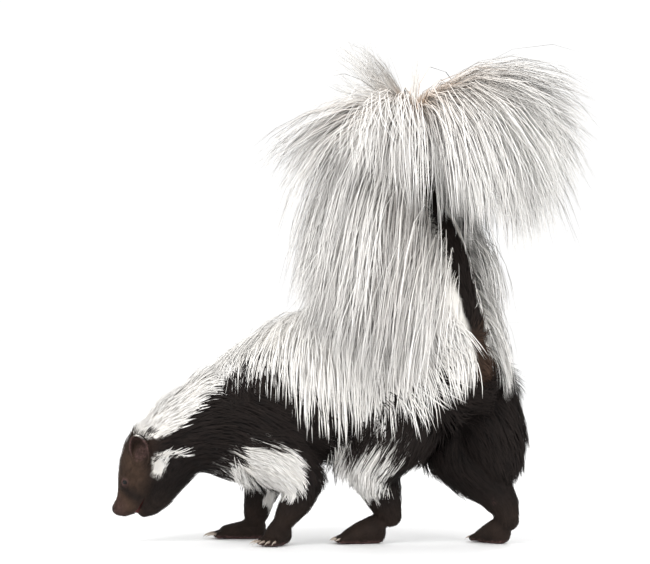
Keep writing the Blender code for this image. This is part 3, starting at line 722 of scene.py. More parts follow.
class Markings:
    """Black, white and brown over the body, alike on skin and coat, from named edges and patches."""

    # Height of the lower edge of the white mantle at its roots, from nose to tail.
    MANTLE = (
        (-182, 116), (-176, 106), (-163, 99), (-150, 101), (-139, 106), (-127, 116), (-119, 126), (-111, 137),
        (-100, 152), (-88, 165), (-70, 176), (-50, 182), (-30, 172), (-12, 156), (12, 146), (40, 150), (70, 146),
        (92, 152), (104, 168), (116, 178), (200, 180),
    )
    # Pale patches on the flanks: place, half length, half height and strength.
    PATCHES = (
        (-52, 78, 34, 22, 1.0), (-30, 62, 18, 16, 0.9), (-46, 44, 6, 14, 0.9), (-80, 66, 22, 16, 0.55),
        (-151, 73, 7, 11, 1.0), (-139, 86, 12, 3.5, 0.9), (40, 70, 30, 28, 0.72), (66, 92, 22, 18, 0.66),
        (24, 96, 16, 20, 0.6),
    )
    # Middle of the tail behind its root, from below: height, place along and place aside.
    TAIL_LINE = (
        (182, 141, -24), (208, 143, -25), (237, 137, -21), (269, 131, -16), (302, 119, -8), (328, 104, 0),
        (356, 95, 6), (400, 84, 12),
    )
    STRIP_HALF = 8.0
    STRIP_ASIDE = 6.0
    STRIP_TOP = 396.0
    STRIP_FOOT = 158.0

    def strip(self, points: Array) -> Array:
        """The dark midline strip under the tail.

        Args:
            points: Places in millimetres.

        Returns:
            1 in the strip, 0 outside it.
        """
        heights, along, beside = np.array(self.TAIL_LINE, float).T
        centre = np.stack([np.interp(points[:, 2], heights, line) for line in (along, beside)], axis=1)
        gap = points[:, :2] - centre
        aside = np.abs(gap @ TO_RIGHT[:2] + self.STRIP_ASIDE + 1.5 * ripple(points, 14, 2.0))
        behind = gap @ TO_REAR[:2]
        rows = 1 - smooth_step(self.STRIP_HALF - 2, self.STRIP_HALF + 2, aside)
        height = smooth_step(self.STRIP_FOOT - 8, self.STRIP_FOOT, points[:, 2])
        return rows * smooth_step(-1, 5, behind) * height * (1 - smooth_step(self.STRIP_TOP, 408, points[:, 2]))

    def pale(self, points: Array) -> Array:
        """How white the coat is.

        Args:
            points: Places in millimetres.

        Returns:
            0 for black to 1 for white.
        """
        rough = 4.0 * ripple(points, 9, 0.3) + 3.0 * ripple(points, 3.5, 1.1)
        calm = smooth_step(-150, -110, points[:, 0])
        edge = np.interp(points[:, 0], *np.array(self.MANTLE, float).T) + rough * (0.3 + 0.7 * calm)
        soft = 1.5 + 3.0 * calm
        pale = smooth_step(-1, 1, (points[:, 2] - edge) / soft)
        for x, z, half_long, half_high, strength in self.PATCHES:
            spread = ((points[:, 0] - x) / half_long) ** 2 + ((points[:, 2] - z) / half_high) ** 2
            patch = 1 - smooth_step(0.62, 1.2, np.sqrt(spread) + 0.3 * ripple(points, 7, x))
            inner = np.abs(points[:, 1] - 4) > 8
            pale = np.maximum(pale, patch * strength * inner)
        return pale * (1 - self.strip(points))

    def brown(self, points: Array) -> Array:
        """How brown a dark place is.

        Args:
            points: Places in millimetres.

        Returns:
            0 for none to 1 for brown.
        """
        face = 1 - smooth_step(-176, -150, points[:, 0] - 0.25 * (points[:, 2] - 60))
        feet = 1 - smooth_step(18, 60, points[:, 2])
        strip = self.strip(points) * (0.03 + 0.5 * (1 - smooth_step(192, 208, points[:, 2])))
        strip = np.maximum(strip, 0.5 * self.strip(points) * smooth_step(320, 345, points[:, 2]))
        streak = np.exp(-(stroke(points * (1, 0, 1), ((-184, 0, 54), (-178, 0, 48), (-170, 0, 43))) / 4.5) ** 2)
        crown = smooth_step(70, 100, points[:, 2])
        cover = np.maximum(0.5 * face * (1 - 0.85 * streak) * (1 - 0.45 * crown), 0.13 * feet)
        return np.maximum(cover * (1 - self.pale(points)), strip) * (0.85 + 0.3 * ripple(points, 11, 4.0))


class MeshMaker:
    """Turns plain arrays into objects of the scene."""

    def __init__(self, place: Place) -> None:
        """Keep the place of the model."""
        self.place = place

    def mesh(self, name: str, points: Array, faces: Array, marks: dict[str, Array]) -> bpy.types.Object:
        """A smooth mesh object.

        Args:
            name: The object's name.
            points: Places in millimetres.
            faces: Corner indexes, as many to each face.
            marks: Numbers for each point, by name.

        Returns:
            The object.
        """
        mesh = bpy.data.meshes.new(name)
        a, b, c = (points[faces[:, i]] for i in range(3))
        if (a * np.cross(b, c)).sum() < 0:
            faces = faces[:, ::-1]
        sides = faces.shape[1]
        mesh.vertices.add(len(points))
        mesh.vertices.foreach_set("co", self.place.metres(points).astype(np.float32).ravel())
        mesh.loops.add(faces.size)
        mesh.loops.foreach_set("vertex_index", faces.astype(np.int32).ravel())
        mesh.polygons.add(len(faces))
        mesh.polygons.foreach_set("loop_start", np.arange(0, faces.size, sides, dtype=np.int32))
        mesh.polygons.foreach_set("use_smooth", np.ones(len(faces), bool))
        mesh.update(calc_edges=True)
        obj = bpy.data.objects.new(name, mesh)
        bpy.context.scene.collection.objects.link(obj)
        self.mark(obj, marks)
        return obj

    def mark(self, obj: bpy.types.Object, marks: dict[str, Array]) -> None:
        """Store numbers on an object's points.

        Args:
            obj: The object.
            marks: Numbers for each point, by name.
        """
        for name, numbers in marks.items():
            layer = obj.data.attributes.new(name, "FLOAT", "POINT")
            layer.data.foreach_set("value", np.asarray(numbers, np.float32))

    def of_bmesh(self, name: str, bm: bmesh.types.BMesh) -> bpy.types.Object:
        """An object from a bmesh in metres, which is freed.

        Args:
            name: The object's name.
            bm: The bmesh.

        Returns:
            The object.
        """
        mesh = bpy.data.meshes.new(name)
        bm.to_mesh(mesh)
        bm.free()
        obj = bpy.data.objects.new(name, mesh)
        bpy.context.scene.collection.objects.link(obj)
        return obj


def applied(obj: bpy.types.Object) -> None:
    """Apply an object's modifiers, so that its mesh is their result.

    Args:
        obj: The object.
    """
    bpy.context.view_layer.update()
    mesh = bpy.data.meshes.new_from_object(obj.evaluated_get(bpy.context.evaluated_depsgraph_get()))
    old = obj.data
    obj.modifiers.clear()
    obj.data = mesh
    bpy.data.meshes.remove(old)


def carve(obj: bpy.types.Object, tools: list[bpy.types.Object], operation: str) -> None:
    """Join tools to an object or cut them from it, and remove them.

    Args:
        obj: The object.
        tools: Closed meshes.
        operation: UNION or DIFFERENCE.
    """
    for tool in tools:
        step = obj.modifiers.new("Carve", "BOOLEAN")
        step.operation = operation
        step.solver = "MANIFOLD"
        step.object = tool
        before = len(obj.data.vertices)
        applied(obj)
        if len(obj.data.vertices) < before // 2:
            raise RuntimeError(f"{tool.name} emptied {obj.name}")
        mesh = tool.data
        bpy.data.objects.remove(tool)
        bpy.data.meshes.remove(mesh)


def ellipsoid(centre: Vector, turn: Matrix, half: Point, segments: int = 24) -> bmesh.types.BMesh:
    """A bmesh ellipsoid in metres.

    Args:
        centre: Its middle.
        turn: Its rotation.
        half: Its half axes.
        segments: Faces round it.

    Returns:
        The bmesh.
    """
    bm = bmesh.new()
    bmesh.ops.create_uvsphere(bm, u_segments=segments, v_segments=segments * 2 // 3, radius=1)
    bm.transform(Matrix.Translation(centre) @ turn.to_4x4() @ Matrix.Diagonal((*half, 1)))
    return bm


@dataclass
class Head:
    """The forms of the face, cut into the skin and raised on it."""

    # Each form: height in millimetres, reach across it, and its line on the left and right alike.
    FORMS = (
        (0.75, 1.9, LIP_LINE),
        (0.6, 1.7, ((-172.5, 4, 26.8), (-167.6, 8.5, 33.5), (-163, 12, 39.5), (-160.5, 14, 44))),
        (0.8, 2.4, ((-186.5, 6, 63), (-184.5, 12, 65.5), (-179.5, 16.5, 64.5))),
        (0.5, 2.2, ((-187.5, 9.5, 53.5), (-183, 14.5, 52.5), (-178, 17.5, 55))),
        (-0.6, 1.5, ((-188, 7, 58), (-184.8, 11.6, 61.6), (-180, 15.5, 60.8))),
        (-0.55, 1.4, ((-187.5, 8, 51), (-181, 14, 49.5), (-175, 17.5, 51))),
        (-0.5, 1.3, ((-190.5, 6.5, 43), (-184, 10.5, 38), (-178, 12.5, 37))),
        (0.7, 3.0, ((-186, 7.5, 31), (-181.5, 10, 31.5))),
        (0.55, 1.5, ((-195.5, 4.6, 34.2), (-193, 6.6, 33.6))),
        (-0.7, 0.9, ((-197.5, 0, 34.5), (-196.4, 0, 29.5), (-192.5, 0, 25.5))),
        (-0.4, 2.0, ((-189.5, 0, 60), (-189, 0, 50), (-190, 0, 44))),
        (0.9, 5.0, ((-176, 19, 50), (-170, 21, 56))),
    )

    maker: MeshMaker
    eye_spot: tuple[float, float] = (-182.3, 58.8)
    eye_radius: float = 3.3
    eye_depth: float = 0.62
    lid_half: float = 0.62
    ear_length: float = 31.0
    ear_width: float = 19.0
    ear_depth: float = 8.0
    ear_wall: float = 1.5
    mouth_front: tuple[float, float] = (-177, 21.8)
    mouth_corner: tuple[float, float] = (-163.2, 44.6)
    mouth_gap: float = 1.9
    tongue_half: float = 3.4
    eyes: list[tuple[Vector, Vector]] = field(default_factory=list)

    def shape(self, skin: bpy.types.Object) -> None:
        """Make every form of the face.

        Args:
            skin: The skin, closed, in metres.
        """
        self.raise_folds(skin)
        self.cut_mouth(skin)
        self.cut_nostrils(skin)
        self.set_eyes(skin)
        carve(skin, [self.ear(sign) for sign in (-1, 1)], "UNION")

    def raise_folds(self, skin: bpy.types.Object) -> None:
        """Raise lips, brows, cheeks and nose wings, and press in the creases between them.

        Args:
            skin: The skin.
        """
        mesh = skin.data
        count = len(mesh.vertices)
        points, normals = np.empty(count * 3), np.empty(count * 3)
        mesh.vertices.foreach_get("co", points)
        mesh.vertices.foreach_get("normal", normals)
        metres, normals = points.reshape(-1, 3), normals.reshape(-1, 3)
        points = (metres - self.maker.place.metres(np.zeros(3))) / MM
        near = points[:, 0] < -140
        p = points[near] * np.array((1, 0, 1)) + np.abs(points[near]) * np.array((0, 1, 0))
        height = np.zeros(len(p))
        for rise, reach, line in self.FORMS:
            height += rise * np.exp(-(stroke(p, line) / reach) ** 2)
        fine = 0.10 * ripple(points[near], 1.6, 0.7) + 0.07 * ripple(points[near], 0.9, 2.2)
        metres[near] += normals[near] * ((height + fine) * MM)[:, None]
        mesh.vertices.foreach_set("co", metres.ravel())
        mesh.update()

    def cut_mouth(self, skin: bpy.types.Object) -> None:
        """Part the lips on each side, with the tongue left between.

        Args:
            skin: The skin.
        """
        front, corner = (np.array((x, 0.0, z)) for x, z in (self.mouth_front, self.mouth_corner))
        along = unit(corner - front)
        open_way = np.cross(along, (0.0, 1.0, 0.0))
        for sign in (-1, 1):
            bm = bmesh.new()
            for share, gap in ((0.0, self.mouth_gap), (0.55, self.mouth_gap * 0.6), (1.0, 0.25)):
                spot = front + (corner - front) * share
                sag = open_way * -1.2 * math.sin(math.pi * share)
                for aside in (self.tongue_half, 24.0):
                    for way in (-0.5, 0.5):
                        bm.verts.new(self.maker.place.vector(spot + sag + open_way * gap * way
                                                             + np.array((0.0, sign * aside, 0.0))))
            bmesh.ops.convex_hull(bm, input=bm.verts[:])
            carve(skin, [self.maker.of_bmesh("lips", bm)], "DIFFERENCE")

    def cut_nostrils(self, skin: bpy.types.Object) -> None:
        """Two comma-shaped openings in the nose.

        Args:
            skin: The skin.
        """
        tools = []
        for sign in (-1, 1):
            for spot, half, pitch in (
                ((-196.0, sign * 2.9, 31.8), (1.9, 1.15, 1.25), 0),
                ((-194.2, sign * 4.9, 32.6), (1.9, 1.9, 0.5), -20),
                ((-192.4, sign * 6.3, 33.4), (1.5, 1.4, 0.35), -24),
            ):
                turn = Matrix.Rotation(math.radians(pitch), 3, "Y")
                bm = ellipsoid(self.maker.place.vector(spot), turn, tuple(h * MM for h in half), 18)
                tools.append(self.maker.of_bmesh("nostril", bm))
        carve(skin, tools, "DIFFERENCE")

    def set_eyes(self, skin: bpy.types.Object) -> None:
        """Cut the sockets, raise the lids and note where the eyeballs go.

        Args:
            skin: The skin.
        """
        bm = bmesh.new()
        bm.from_mesh(skin.data)
        tree = BVHTree.FromBMesh(bm)
        bm.free()
        x, z = self.eye_spot
        for sign in (-1, 1):
            outside = self.maker.place.vector((x, sign * 60, z))
            spot, normal, _index, _far = tree.ray_cast(outside, Vector((0, -sign, 0)))
            normal = (normal + Vector((0, sign, 0)) * 0.8).normalized()
            centre = spot - normal * self.eye_radius * self.eye_depth * MM
            turn = normal.to_track_quat("Z", "Y").to_matrix()
            self.eyes.append((centre, normal))
            radius = (self.eye_radius + 0.12) * MM
            socket = self.maker.of_bmesh("socket", ellipsoid(centre, turn, (radius,) * 3, 32))
            carve(skin, [self.lids(centre, turn)], "UNION")
            carve(skin, [socket], "DIFFERENCE")

    def lids(self, centre: Vector, turn: Matrix) -> bpy.types.Object:
        """The ring of both lids, lying on the eyeball.

        Args:
            centre: The eyeball's middle.
            turn: The eye's rotation, looking along its Z.

        Returns:
            A closed ring.
        """
        rounds, sides = 40, 10
        bm = bmesh.new()
        rings = []
        for step in range(rounds):
            angle = 2 * math.pi * step / rounds
            wide = self.eye_radius * 0.86 * math.cos(angle)
            high = self.eye_radius * 0.70 * math.sin(angle)
            deep = math.sqrt(max((self.eye_radius + 0.1) ** 2 - wide**2 - high**2, 0.2))
            middle = Vector((wide, high, deep))
            out = middle.normalized()
            outward = Vector((wide, high, 0)).normalized()
            outward = (outward - out * outward.dot(out)).normalized()
            thick = self.lid_half * (1.25 if high > 0 else 1.0)
            rings.append([
                bm.verts.new(middle + out * thick * math.cos(a)
                             + outward * (0.75 * thick + 1.25 * thick * math.sin(a)))
                for a in (2 * math.pi * side / sides for side in range(sides))
            ])
        for one, two in zip(rings, rings[1:] + rings[:1]):
            for side in range(sides):
                bm.faces.new((one[side], two[side], two[(side + 1) % sides], one[(side + 1) % sides]))
        bmesh.ops.recalc_face_normals(bm, faces=bm.faces[:])
        bm.transform(Matrix.Translation(centre) @ turn.to_4x4() @ Matrix.Scale(MM, 4))
        return self.maker.of_bmesh("lids", bm)

    def ear(self, sign: int) -> bpy.types.Object:
        """One ear: a rounded flap with a rolled rim and a ridged cup.

        Args:
            sign: -1 for the left ear, 1 for the right.

        Returns:
            A closed mesh.
        """
        bm = bmesh.new()
        bmesh.ops.create_uvsphere(bm, u_segments=44, v_segments=28, radius=1)
        everything = bm.verts[:] + bm.edges[:] + bm.faces[:]
        bmesh.ops.bisect_plane(bm, geom=everything, plane_co=(0, 0, 0.15), plane_no=(0, 0, 1), clear_outer=True)
        for vert in bm.verts:
            x, y, z = vert.co
            fold = 0.16 * math.exp(-((x + 0.35 - 0.3 * y) / 0.12) ** 2) + 0.12 * math.exp(-((x - 0.4) / 0.1) ** 2)
            vert.co.z += fold * max(0.0, 1 - y * y) * (0.6 if z < -0.3 else 0.0)
        bm.transform(Matrix.Diagonal((self.ear_width / 2, self.ear_length / 2, self.ear_depth, 1)) * MM)
        ear = self.maker.of_bmesh("ear", bm)
        wall = ear.modifiers.new("Solidify", "SOLIDIFY")
        wall.thickness = self.ear_wall * MM
        wall.offset = 0
        round_off = ear.modifiers.new("Subdivision", "SUBSURF")
        round_off.levels = 1
        applied(ear)
        place = self.maker.place
        base, tip = place.vector((-164, sign * 22, 73)), place.vector((-171.5, sign * 28, 105))
        length = (tip - base).normalized()
        outward = Vector((-0.42, sign * 0.9, -0.1))
        outward = (outward - length * outward.dot(length)).normalized()
        turn = Matrix((length.cross(outward), length, outward)).transposed().to_4x4()
        ear.data.transform(Matrix.Translation((base + tip) / 2) @ turn)
        return ear


@dataclass
class Skin:
    """The one skin of the whole animal."""

    maker: MeshMaker
    head: Head
    markings: Markings
    voxel: float = 1.8
    soften: int = 6
    nodes: tuple[str, ...] = (
        "nose", "head", "ear_left", "ear_right", "neck", "torso", "tail",
        "upperarm_left", "upperarm_right", "forearm_left", "forearm_right", "forepaw_left", "forepaw_right",
        "thigh_left", "thigh_right", "shank_left", "shank_right", "hindpaw_left", "hindpaw_right",
    )

    def build(self) -> bpy.types.Object:
        """The skin's mesh, marked and dressed.

        Returns:
            The object.
        """
        bm = bmesh.new()
        sphere = self.sphere()
        for chain in ALL_CHAINS:
            clouds = chain.clouds(sphere)
            for first, second in zip(clouds, clouds[1:]):
                self.hull(bm, np.concatenate((first, second)))
        skin = self.maker.of_bmesh("skin", bm)
        remesh = skin.modifiers.new("Remesh", "REMESH")
        remesh.mode = "VOXEL"
        remesh.voxel_size = self.voxel * MM
        smooth = skin.modifiers.new("Smooth", "SMOOTH")
        smooth.factor = 0.5
        smooth.iterations = self.soften
        applied(skin)
        self.refine(skin)
        self.head.shape(skin)
        floor = bmesh.new()
        bmesh.ops.create_cube(floor, size=1)
        floor.transform(Matrix.Translation((0, 0, -0.0198)) @ Matrix.Diagonal((1, 1, 0.04, 1)))
        carve(skin, [self.maker.of_bmesh("under", floor)], "DIFFERENCE")
        skin.data.shade_smooth()
        self.mark(skin)
        skin.data.materials.clear()
        skin.data.materials.append(SkinFinish().build("skin"))
        skin.data.polygons.foreach_set("material_index", np.zeros(len(skin.data.polygons), np.int32))
        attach(skin, "root")
        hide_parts(*self.nodes)
        LOG.info("skin: %d faces", len(skin.data.polygons))
        return skin

    def sphere(self) -> Array:
        """Points spread over a unit sphere."""
        bm = bmesh.new()
        bmesh.ops.create_icosphere(bm, subdivisions=3, radius=1)
        points = np.array([vert.co for vert in bm.verts])
        bm.free()
        return points

    def hull(self, bm: bmesh.types.BMesh, points: Array) -> None:
        """Add a convex hull.

        Args:
            bm: The bmesh to add to.
            points: Places in millimetres.
        """
        verts = [bm.verts.new(point) for point in self.maker.place.metres(points)]
        made = bmesh.ops.convex_hull(bm, input=verts)
        spare = [item for item in made["geom_interior"] + made["geom_unused"] if isinstance(item, bmesh.types.BMVert)]
        bmesh.ops.delete(bm, geom=list(set(spare)), context="VERTS")

    def refine(self, skin: bpy.types.Object) -> None:
        """Make the faces of the head and the paws finer.

        Args:
            skin: The skin.
        """
        bm = bmesh.new()
        bm.from_mesh(skin.data)
        edge_of_head = self.maker.place.vector((-152, 0, 0)).x
        low = 17 * MM
        edges = [
            edge for edge in bm.edges
            if all(v.co.x < edge_of_head and v.co.z < 110 * MM or v.co.z < low for v in edge.verts)
        ]
        bmesh.ops.subdivide_edges(bm, edges=edges, cuts=1, use_grid_fill=True, smooth=0.6)
        bm.to_mesh(skin.data)
        bm.free()

    def mark(self, skin: bpy.types.Object) -> None:
        """Store the coat's marks and the bare places.

        Args:
            skin: The skin.
        """
        count = len(skin.data.vertices)
        points = np.empty(count * 3)
        skin.data.vertices.foreach_get("co", points)
        points = (points.reshape(-1, 3) - self.maker.place.metres(np.zeros(3))) / MM
        x, y, z = points.T
        side = np.abs(y)
        mouth = np.stack((x, np.zeros(count), z), axis=1)
        line = ((self.head.mouth_front[0], 0, self.head.mouth_front[1]),
                (self.head.mouth_corner[0], 0, self.head.mouth_corner[1]))
        slit = 1 - smooth_step(1.3, 2.2, stroke(mouth, line))
        inner = 1 - smooth_step(4.5, 6.5, side)
        pad = 1 - smooth_step(4.0, 5.6, np.linalg.norm((points - (-195.6, 0, 32.6)) / (1, 1.35, 1), axis=1))
        lips = np.exp(-(stroke(np.abs(points) * (-1, 1, 1), LIP_LINE) / 2.2) ** 2)
        muzzle = 1 - smooth_step(9, 20, np.linalg.norm(points - (-193, 0, 33), axis=1))
        metres = self.maker.place.metres(points)
        lids = sum(
            np.exp(-((np.linalg.norm(metres - np.array(centre), axis=1) / MM - 3.6) / 1.4) ** 2)
            for centre, _normal in self.head.eyes
        )
        palms = 1 - smooth_step(2.0, 5.0, z)
        ears = np.zeros(count)
        for sign in (-1, 1):
            flap = 1 - smooth_step(11, 14, np.linalg.norm(points - (-170.5, sign * 27, 91), axis=1))
            ears = np.maximum(ears, flap * smooth_step(20, 23, side))
        bare = np.clip(0.8 * lips + 0.5 * muzzle + 0.6 * np.clip(lids, 0, 1) + palms + 0.75 * ears, 0, 1)
        holes = sum(
            1 - smooth_step(1.3, 2.3, np.linalg.norm((points - (-195.2, sign * 3.6, 32.0)) / (1.5, 1, 1), axis=1))
            for sign in (-1, 1)
        )
        marks = {
            "pale": self.markings.pale(points) * (1 - np.clip(ears + muzzle, 0, 1)),
            "brown": np.clip(self.markings.brown(points), 0, 1),
            "rust": np.zeros(count),
            "tint": 0.5 + 0.5 * ripple(points, 5, 0.9),
            "bare": bare,
            "pad": np.clip(pad + holes, 0, 1),
            "wet": slit * inner,
        }
        self.maker.mark(skin, marks)


@dataclass
class Eyes:
    """Two eyeballs with a slightly raised clear front."""

    maker: MeshMaker
    head: Head

    def build(self) -> None:
        """Both eyeballs."""
        finish = EyeFinish().build("eye")
        for name, (centre, normal) in zip(("eye_left", "eye_right"), self.head.eyes):
            bm = bmesh.new()
            bmesh.ops.create_uvsphere(bm, u_segments=48, v_segments=32, radius=1)
            facing = [vert.co.z for vert in bm.verts]
            for vert in bm.verts:
                bulge = 1 + 0.04 * max(0.0, (vert.co.z - 0.75) / 0.25)
                vert.co *= bulge * self.head.eye_radius * MM
            turn = normal.to_track_quat("Z", "Y").to_matrix().to_4x4()
            bm.transform(Matrix.Translation(centre) @ turn)
            ball = self.maker.of_bmesh("eyeball_" + name[4:], bm)
            ball.data.shade_smooth()
            self.maker.mark(ball, {"axis": np.array(facing)})
            ball.data.materials.append(finish)
            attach(ball, "root")
            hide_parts(name)
            LOG.info("%s: in its socket", ball.name)


class Blades:
    """Closed three-sided tapered tufts, made many at a time."""

    def __init__(self, paths: Array, across: Array, facing: Array, half: Array, marks: dict[str, Array],
                 patch: Array) -> None:
        """Keep the tufts.

        Args:
            paths: Middle lines, tufts by points by 3, in millimetres.
            across: The sideways direction of each tuft.
            facing: The way that the coat faces at each tuft.
            half: Half width of each tuft.
            marks: Numbers for each tuft, by name.
            patch: Place of each tuft's root on the unwrap of the skin.
        """
        self.paths, self.across, self.facing, self.half = paths, across, facing, half
        self.marks, self.patch = marks, patch

    def pick(self, chosen: Array) -> "Blades":
        """Some of the tufts."""
        marks = {name: numbers[chosen] for name, numbers in self.marks.items()}
        return Blades(self.paths[chosen], self.across[chosen], self.facing[chosen], self.half[chosen], marks,
                      self.patch[chosen])

    def build(self, maker: MeshMaker, name: str, finish: bpy.types.Material) -> bpy.types.Object:
        """Join the tufts into one piece.

        Args:
            maker: Makes the mesh.
            name: The piece's name.
            finish: Its material.

        Returns:
            The object.
        """
        count, points, _ = self.paths.shape
        rings = points - 1
        heading = unit(np.gradient(self.paths, axis=1))
        side = self.across[:, None, :] - heading * (self.across[:, None, :] * heading).sum(2, keepdims=True)
        side = unit(side)
        up = np.cross(side, heading)
        t = np.linspace(0, 1, points)[:rings]
        profile = (0.55 + 0.45 * np.sin(np.pi * np.minimum(t * 1.6, 0.5))) * (1 - t**2.2 * 0.55)
        wide = self.half[:, None, None] * profile[None, :, None]
        spots = self.paths[:, :rings]
        corners = np.stack((spots + side[:, :rings] * wide - up[:, :rings] * wide * 0.15,
                            spots - side[:, :rings] * wide - up[:, :rings] * wide * 0.15,
                            spots + up[:, :rings] * wide * 0.36), axis=2)
        # The tufts are shaded as one soft coat, so a corner looks mostly the way that the coat faces.
        soft = unit(self.facing)[:, None, None, :] + 0.15 * up[:, :, None, :]
        lean = np.stack((0.4 * side, -0.4 * side, 0.0 * side), axis=2)
        looks = soft + lean
        looks = looks - 0.6 * heading[:, :, None, :] * (looks * heading[:, :, None, :]).sum(3, keepdims=True)
        looks = np.concatenate((unit(looks[:, :rings]).reshape(count, rings * 3, 3), unit(looks[:, -1, 2:])), axis=1)
        per = rings * 3 + 1
        verts = np.concatenate((corners.reshape(count, rings * 3, 3), self.paths[:, -1:]), axis=1).reshape(-1, 3)
        faces = [(0, 1, 2)]
        for ring in range(rings - 1):
            low, high = ring * 3, ring * 3 + 3
            for one, two in ((0, 1), (1, 2), (2, 0)):
                faces += [(low + one, high + one, low + two), (low + two, high + one, high + two)]
        last = (rings - 1) * 3
        faces += [(last + one, rings * 3, last + two) for one, two in ((0, 1), (1, 2), (2, 0))]
        faces = (np.array(faces)[None, :, ::-1] + (np.arange(count) * per)[:, None, None]).reshape(-1, 3)
        share = np.append(np.repeat(t, 3), 1.0)
        marks = {mark: np.repeat(numbers, per) for mark, numbers in self.marks.items()}
        marks["along"] = np.tile(share, count)
        obj = maker.mesh(name, verts, faces, marks)
        obj.data.normals_split_custom_set_from_vertices(looks.reshape(-1, 3).tolist())
        corner = np.append(np.tile((-1.0, 1.0, 0.0), rings), 0.0)
        offset = np.stack((corner * 0.0015, (share - 0.5) * 0.003), axis=1)
        spread = (self.patch[:, None, :] + offset[None]).reshape(-1, 2)
        layer = obj.data.uv_layers.new(name="OFBake")
        layer.data.foreach_set("uv", spread[faces.ravel()].astype(np.float32).ravel())
        obj.data.materials.append(finish)
        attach(obj, "root")
        LOG.info("%s: %d tufts, %d triangles", name, count, len(faces))
        return obj


@dataclass
class Coat:
    """All the hair of the body, rooted on the skin."""

    # Each region: how its tufts bend, how far their tips gather, tufts to a clump, and the material slot.
    REGIONS = {
        "coat_face": (Lie.SHORT, 0.2, 6, "coat_black"),
        "coat_feet": (Lie.SHORT, 0.25, 6, "coat_black"),
        "coat_legs": (Lie.MIDDLE, 0.35, 9, "coat_black"),
        "coat_neck": (Lie.MIDDLE, 0.3, 9, "coat_white"),
        "coat_flanks": (Lie.MIDDLE, 0.38, 8, "coat_black"),
        "coat_mantle": (Lie.LONG, 0.32, 8, "coat_white"),
    }
    SWIRL_MIDDLE = (106, -40, 238)
    SWIRL_HALF = (50, 46, 54)
    MANTLE_FINENESS = 0.72

    maker: MeshMaker
    groom: Groom
    markings: Markings
    finish: bpy.types.Material
    seed: int = 5
    tufts: int = 66_000

    def plant(self, skin: bpy.types.Object) -> None:
        """Read the skin as triangles and as a search tree.

        Args:
            skin: The finished skin.
        """
        self.draw = np.random.default_rng(self.seed)
        mesh = skin.data
        mesh.calc_loop_triangles()
        corners = np.empty(len(mesh.loop_triangles) * 3, np.int32)
        mesh.loop_triangles.foreach_get("vertices", corners)
        points = np.empty(len(mesh.vertices) * 3)
        normals = np.empty(len(mesh.vertices) * 3)
        mesh.vertices.foreach_get("co", points)
        mesh.vertices.foreach_get("normal", normals)
        self.points = (points.reshape(-1, 3) - self.maker.place.metres(np.zeros(3))) / MM
        self.normals = normals.reshape(-1, 3)
        self.triangles = self.in_order(corners.reshape(-1, 3))
        self.tree = BVHTree.FromPolygons(self.points.tolist(), self.triangles.tolist())

    def in_order(self, triangles: Array) -> Array:
        """The same triangles in one fixed order, whichever order the cuts left them in.

        Args:
            triangles: Corner indexes.

        Returns:
            The triangles, each from its lowest corner on, and sorted by their corners.
        """
        first = triangles.argmin(1)
        turned = triangles[np.arange(len(triangles))[:, None], (first[:, None] + np.arange(3)) % 3]
        return turned[np.lexsort(turned.T[::-1])]

    def nearest(self, points: Array) -> tuple[Array, Array]:
        """The closest place on the skin and its normal.

        Args:
            points: Places in millimetres.

        Returns:
            The places and the normals.
        """
        spots, normals = np.empty_like(points), np.empty_like(points)
        find = self.tree.find_nearest
        for index, point in enumerate(points.tolist()):
            spot, normal, _face, _far = find(point)
            spots[index] = spot
            normals[index] = normal
        return spots, normals

    def roots(self, count: int, density: Array) -> tuple[Array, Array]:
        """Random places on the skin.

        Args:
            count: How many.
            density: Weight of each triangle for each unit of its area.

        Returns:
            The places and their normals.
        """
        a, b, c = (self.points[self.triangles[:, i]] for i in range(3))
        area = np.linalg.norm(np.cross(b - a, c - a), axis=1) / 2
        weight = np.cumsum(area * density)
        chosen = np.searchsorted(weight, self.draw.random(count) * weight[-1])
        chosen = np.minimum(chosen, len(self.triangles) - 1)
        u, v = self.draw.random(count), self.draw.random(count)
        flip = u + v > 1
        u, v = np.where(flip, 1 - u, u), np.where(flip, 1 - v, v)
        w = 1 - u - v
        corners = self.triangles[chosen]
        spots = w[:, None] * a[chosen] + u[:, None] * b[chosen] + v[:, None] * c[chosen]
        normals = unit(w[:, None] * self.normals[corners[:, 0]] + u[:, None] * self.normals[corners[:, 1]]
                       + v[:, None] * self.normals[corners[:, 2]])
        return spots, normals

    def lay(self, roots: Array, normals: Array, flow: Array, length: Array, lift: Array, droop: Array,
            steps: int) -> Array:
        """Middle lines that leave the skin and follow it.

        Args:
            roots: Places on the skin.
            normals: The skin's normals there.
            flow: The lie of the coat there.
            length: Length of each tuft.
            lift: How far each tuft rises from the skin, as a share of its length.
            droop: Pull of its weight at each step.
            steps: Stretches in each line.

        Returns:
            The lines, tufts by points by 3.
        """
        flat = unit(flow - normals * (flow * normals).sum(1, keepdims=True))
        heading = unit(flat + normals * lift[:, None])
        sink = np.minimum(0.06 * length + 0.4, 1.5)[:, None]
        lines = [roots - normals * sink]
        point = roots
        stretch = (length / steps)[:, None]
        for step in range(steps):
            point = point + heading * stretch
            spot, normal = self.nearest(point)
            height = ((point - spot) * normal).sum(1)
            least = 0.25 * lift * length * (step + 1) / steps + 0.25
            point = point + normal * np.maximum(least - height, 0)[:, None]
            point[:, 2] = np.maximum(point[:, 2], 0.6)
            lines.append(point)
            along = heading - normal * np.minimum((heading * normal).sum(1), 0.0)[:, None]
            heading = unit(along - normal * (0.5 * lift)[:, None] * (height > least)[:, None] - UP * droop[:, None])
        return np.stack(lines, axis=1)

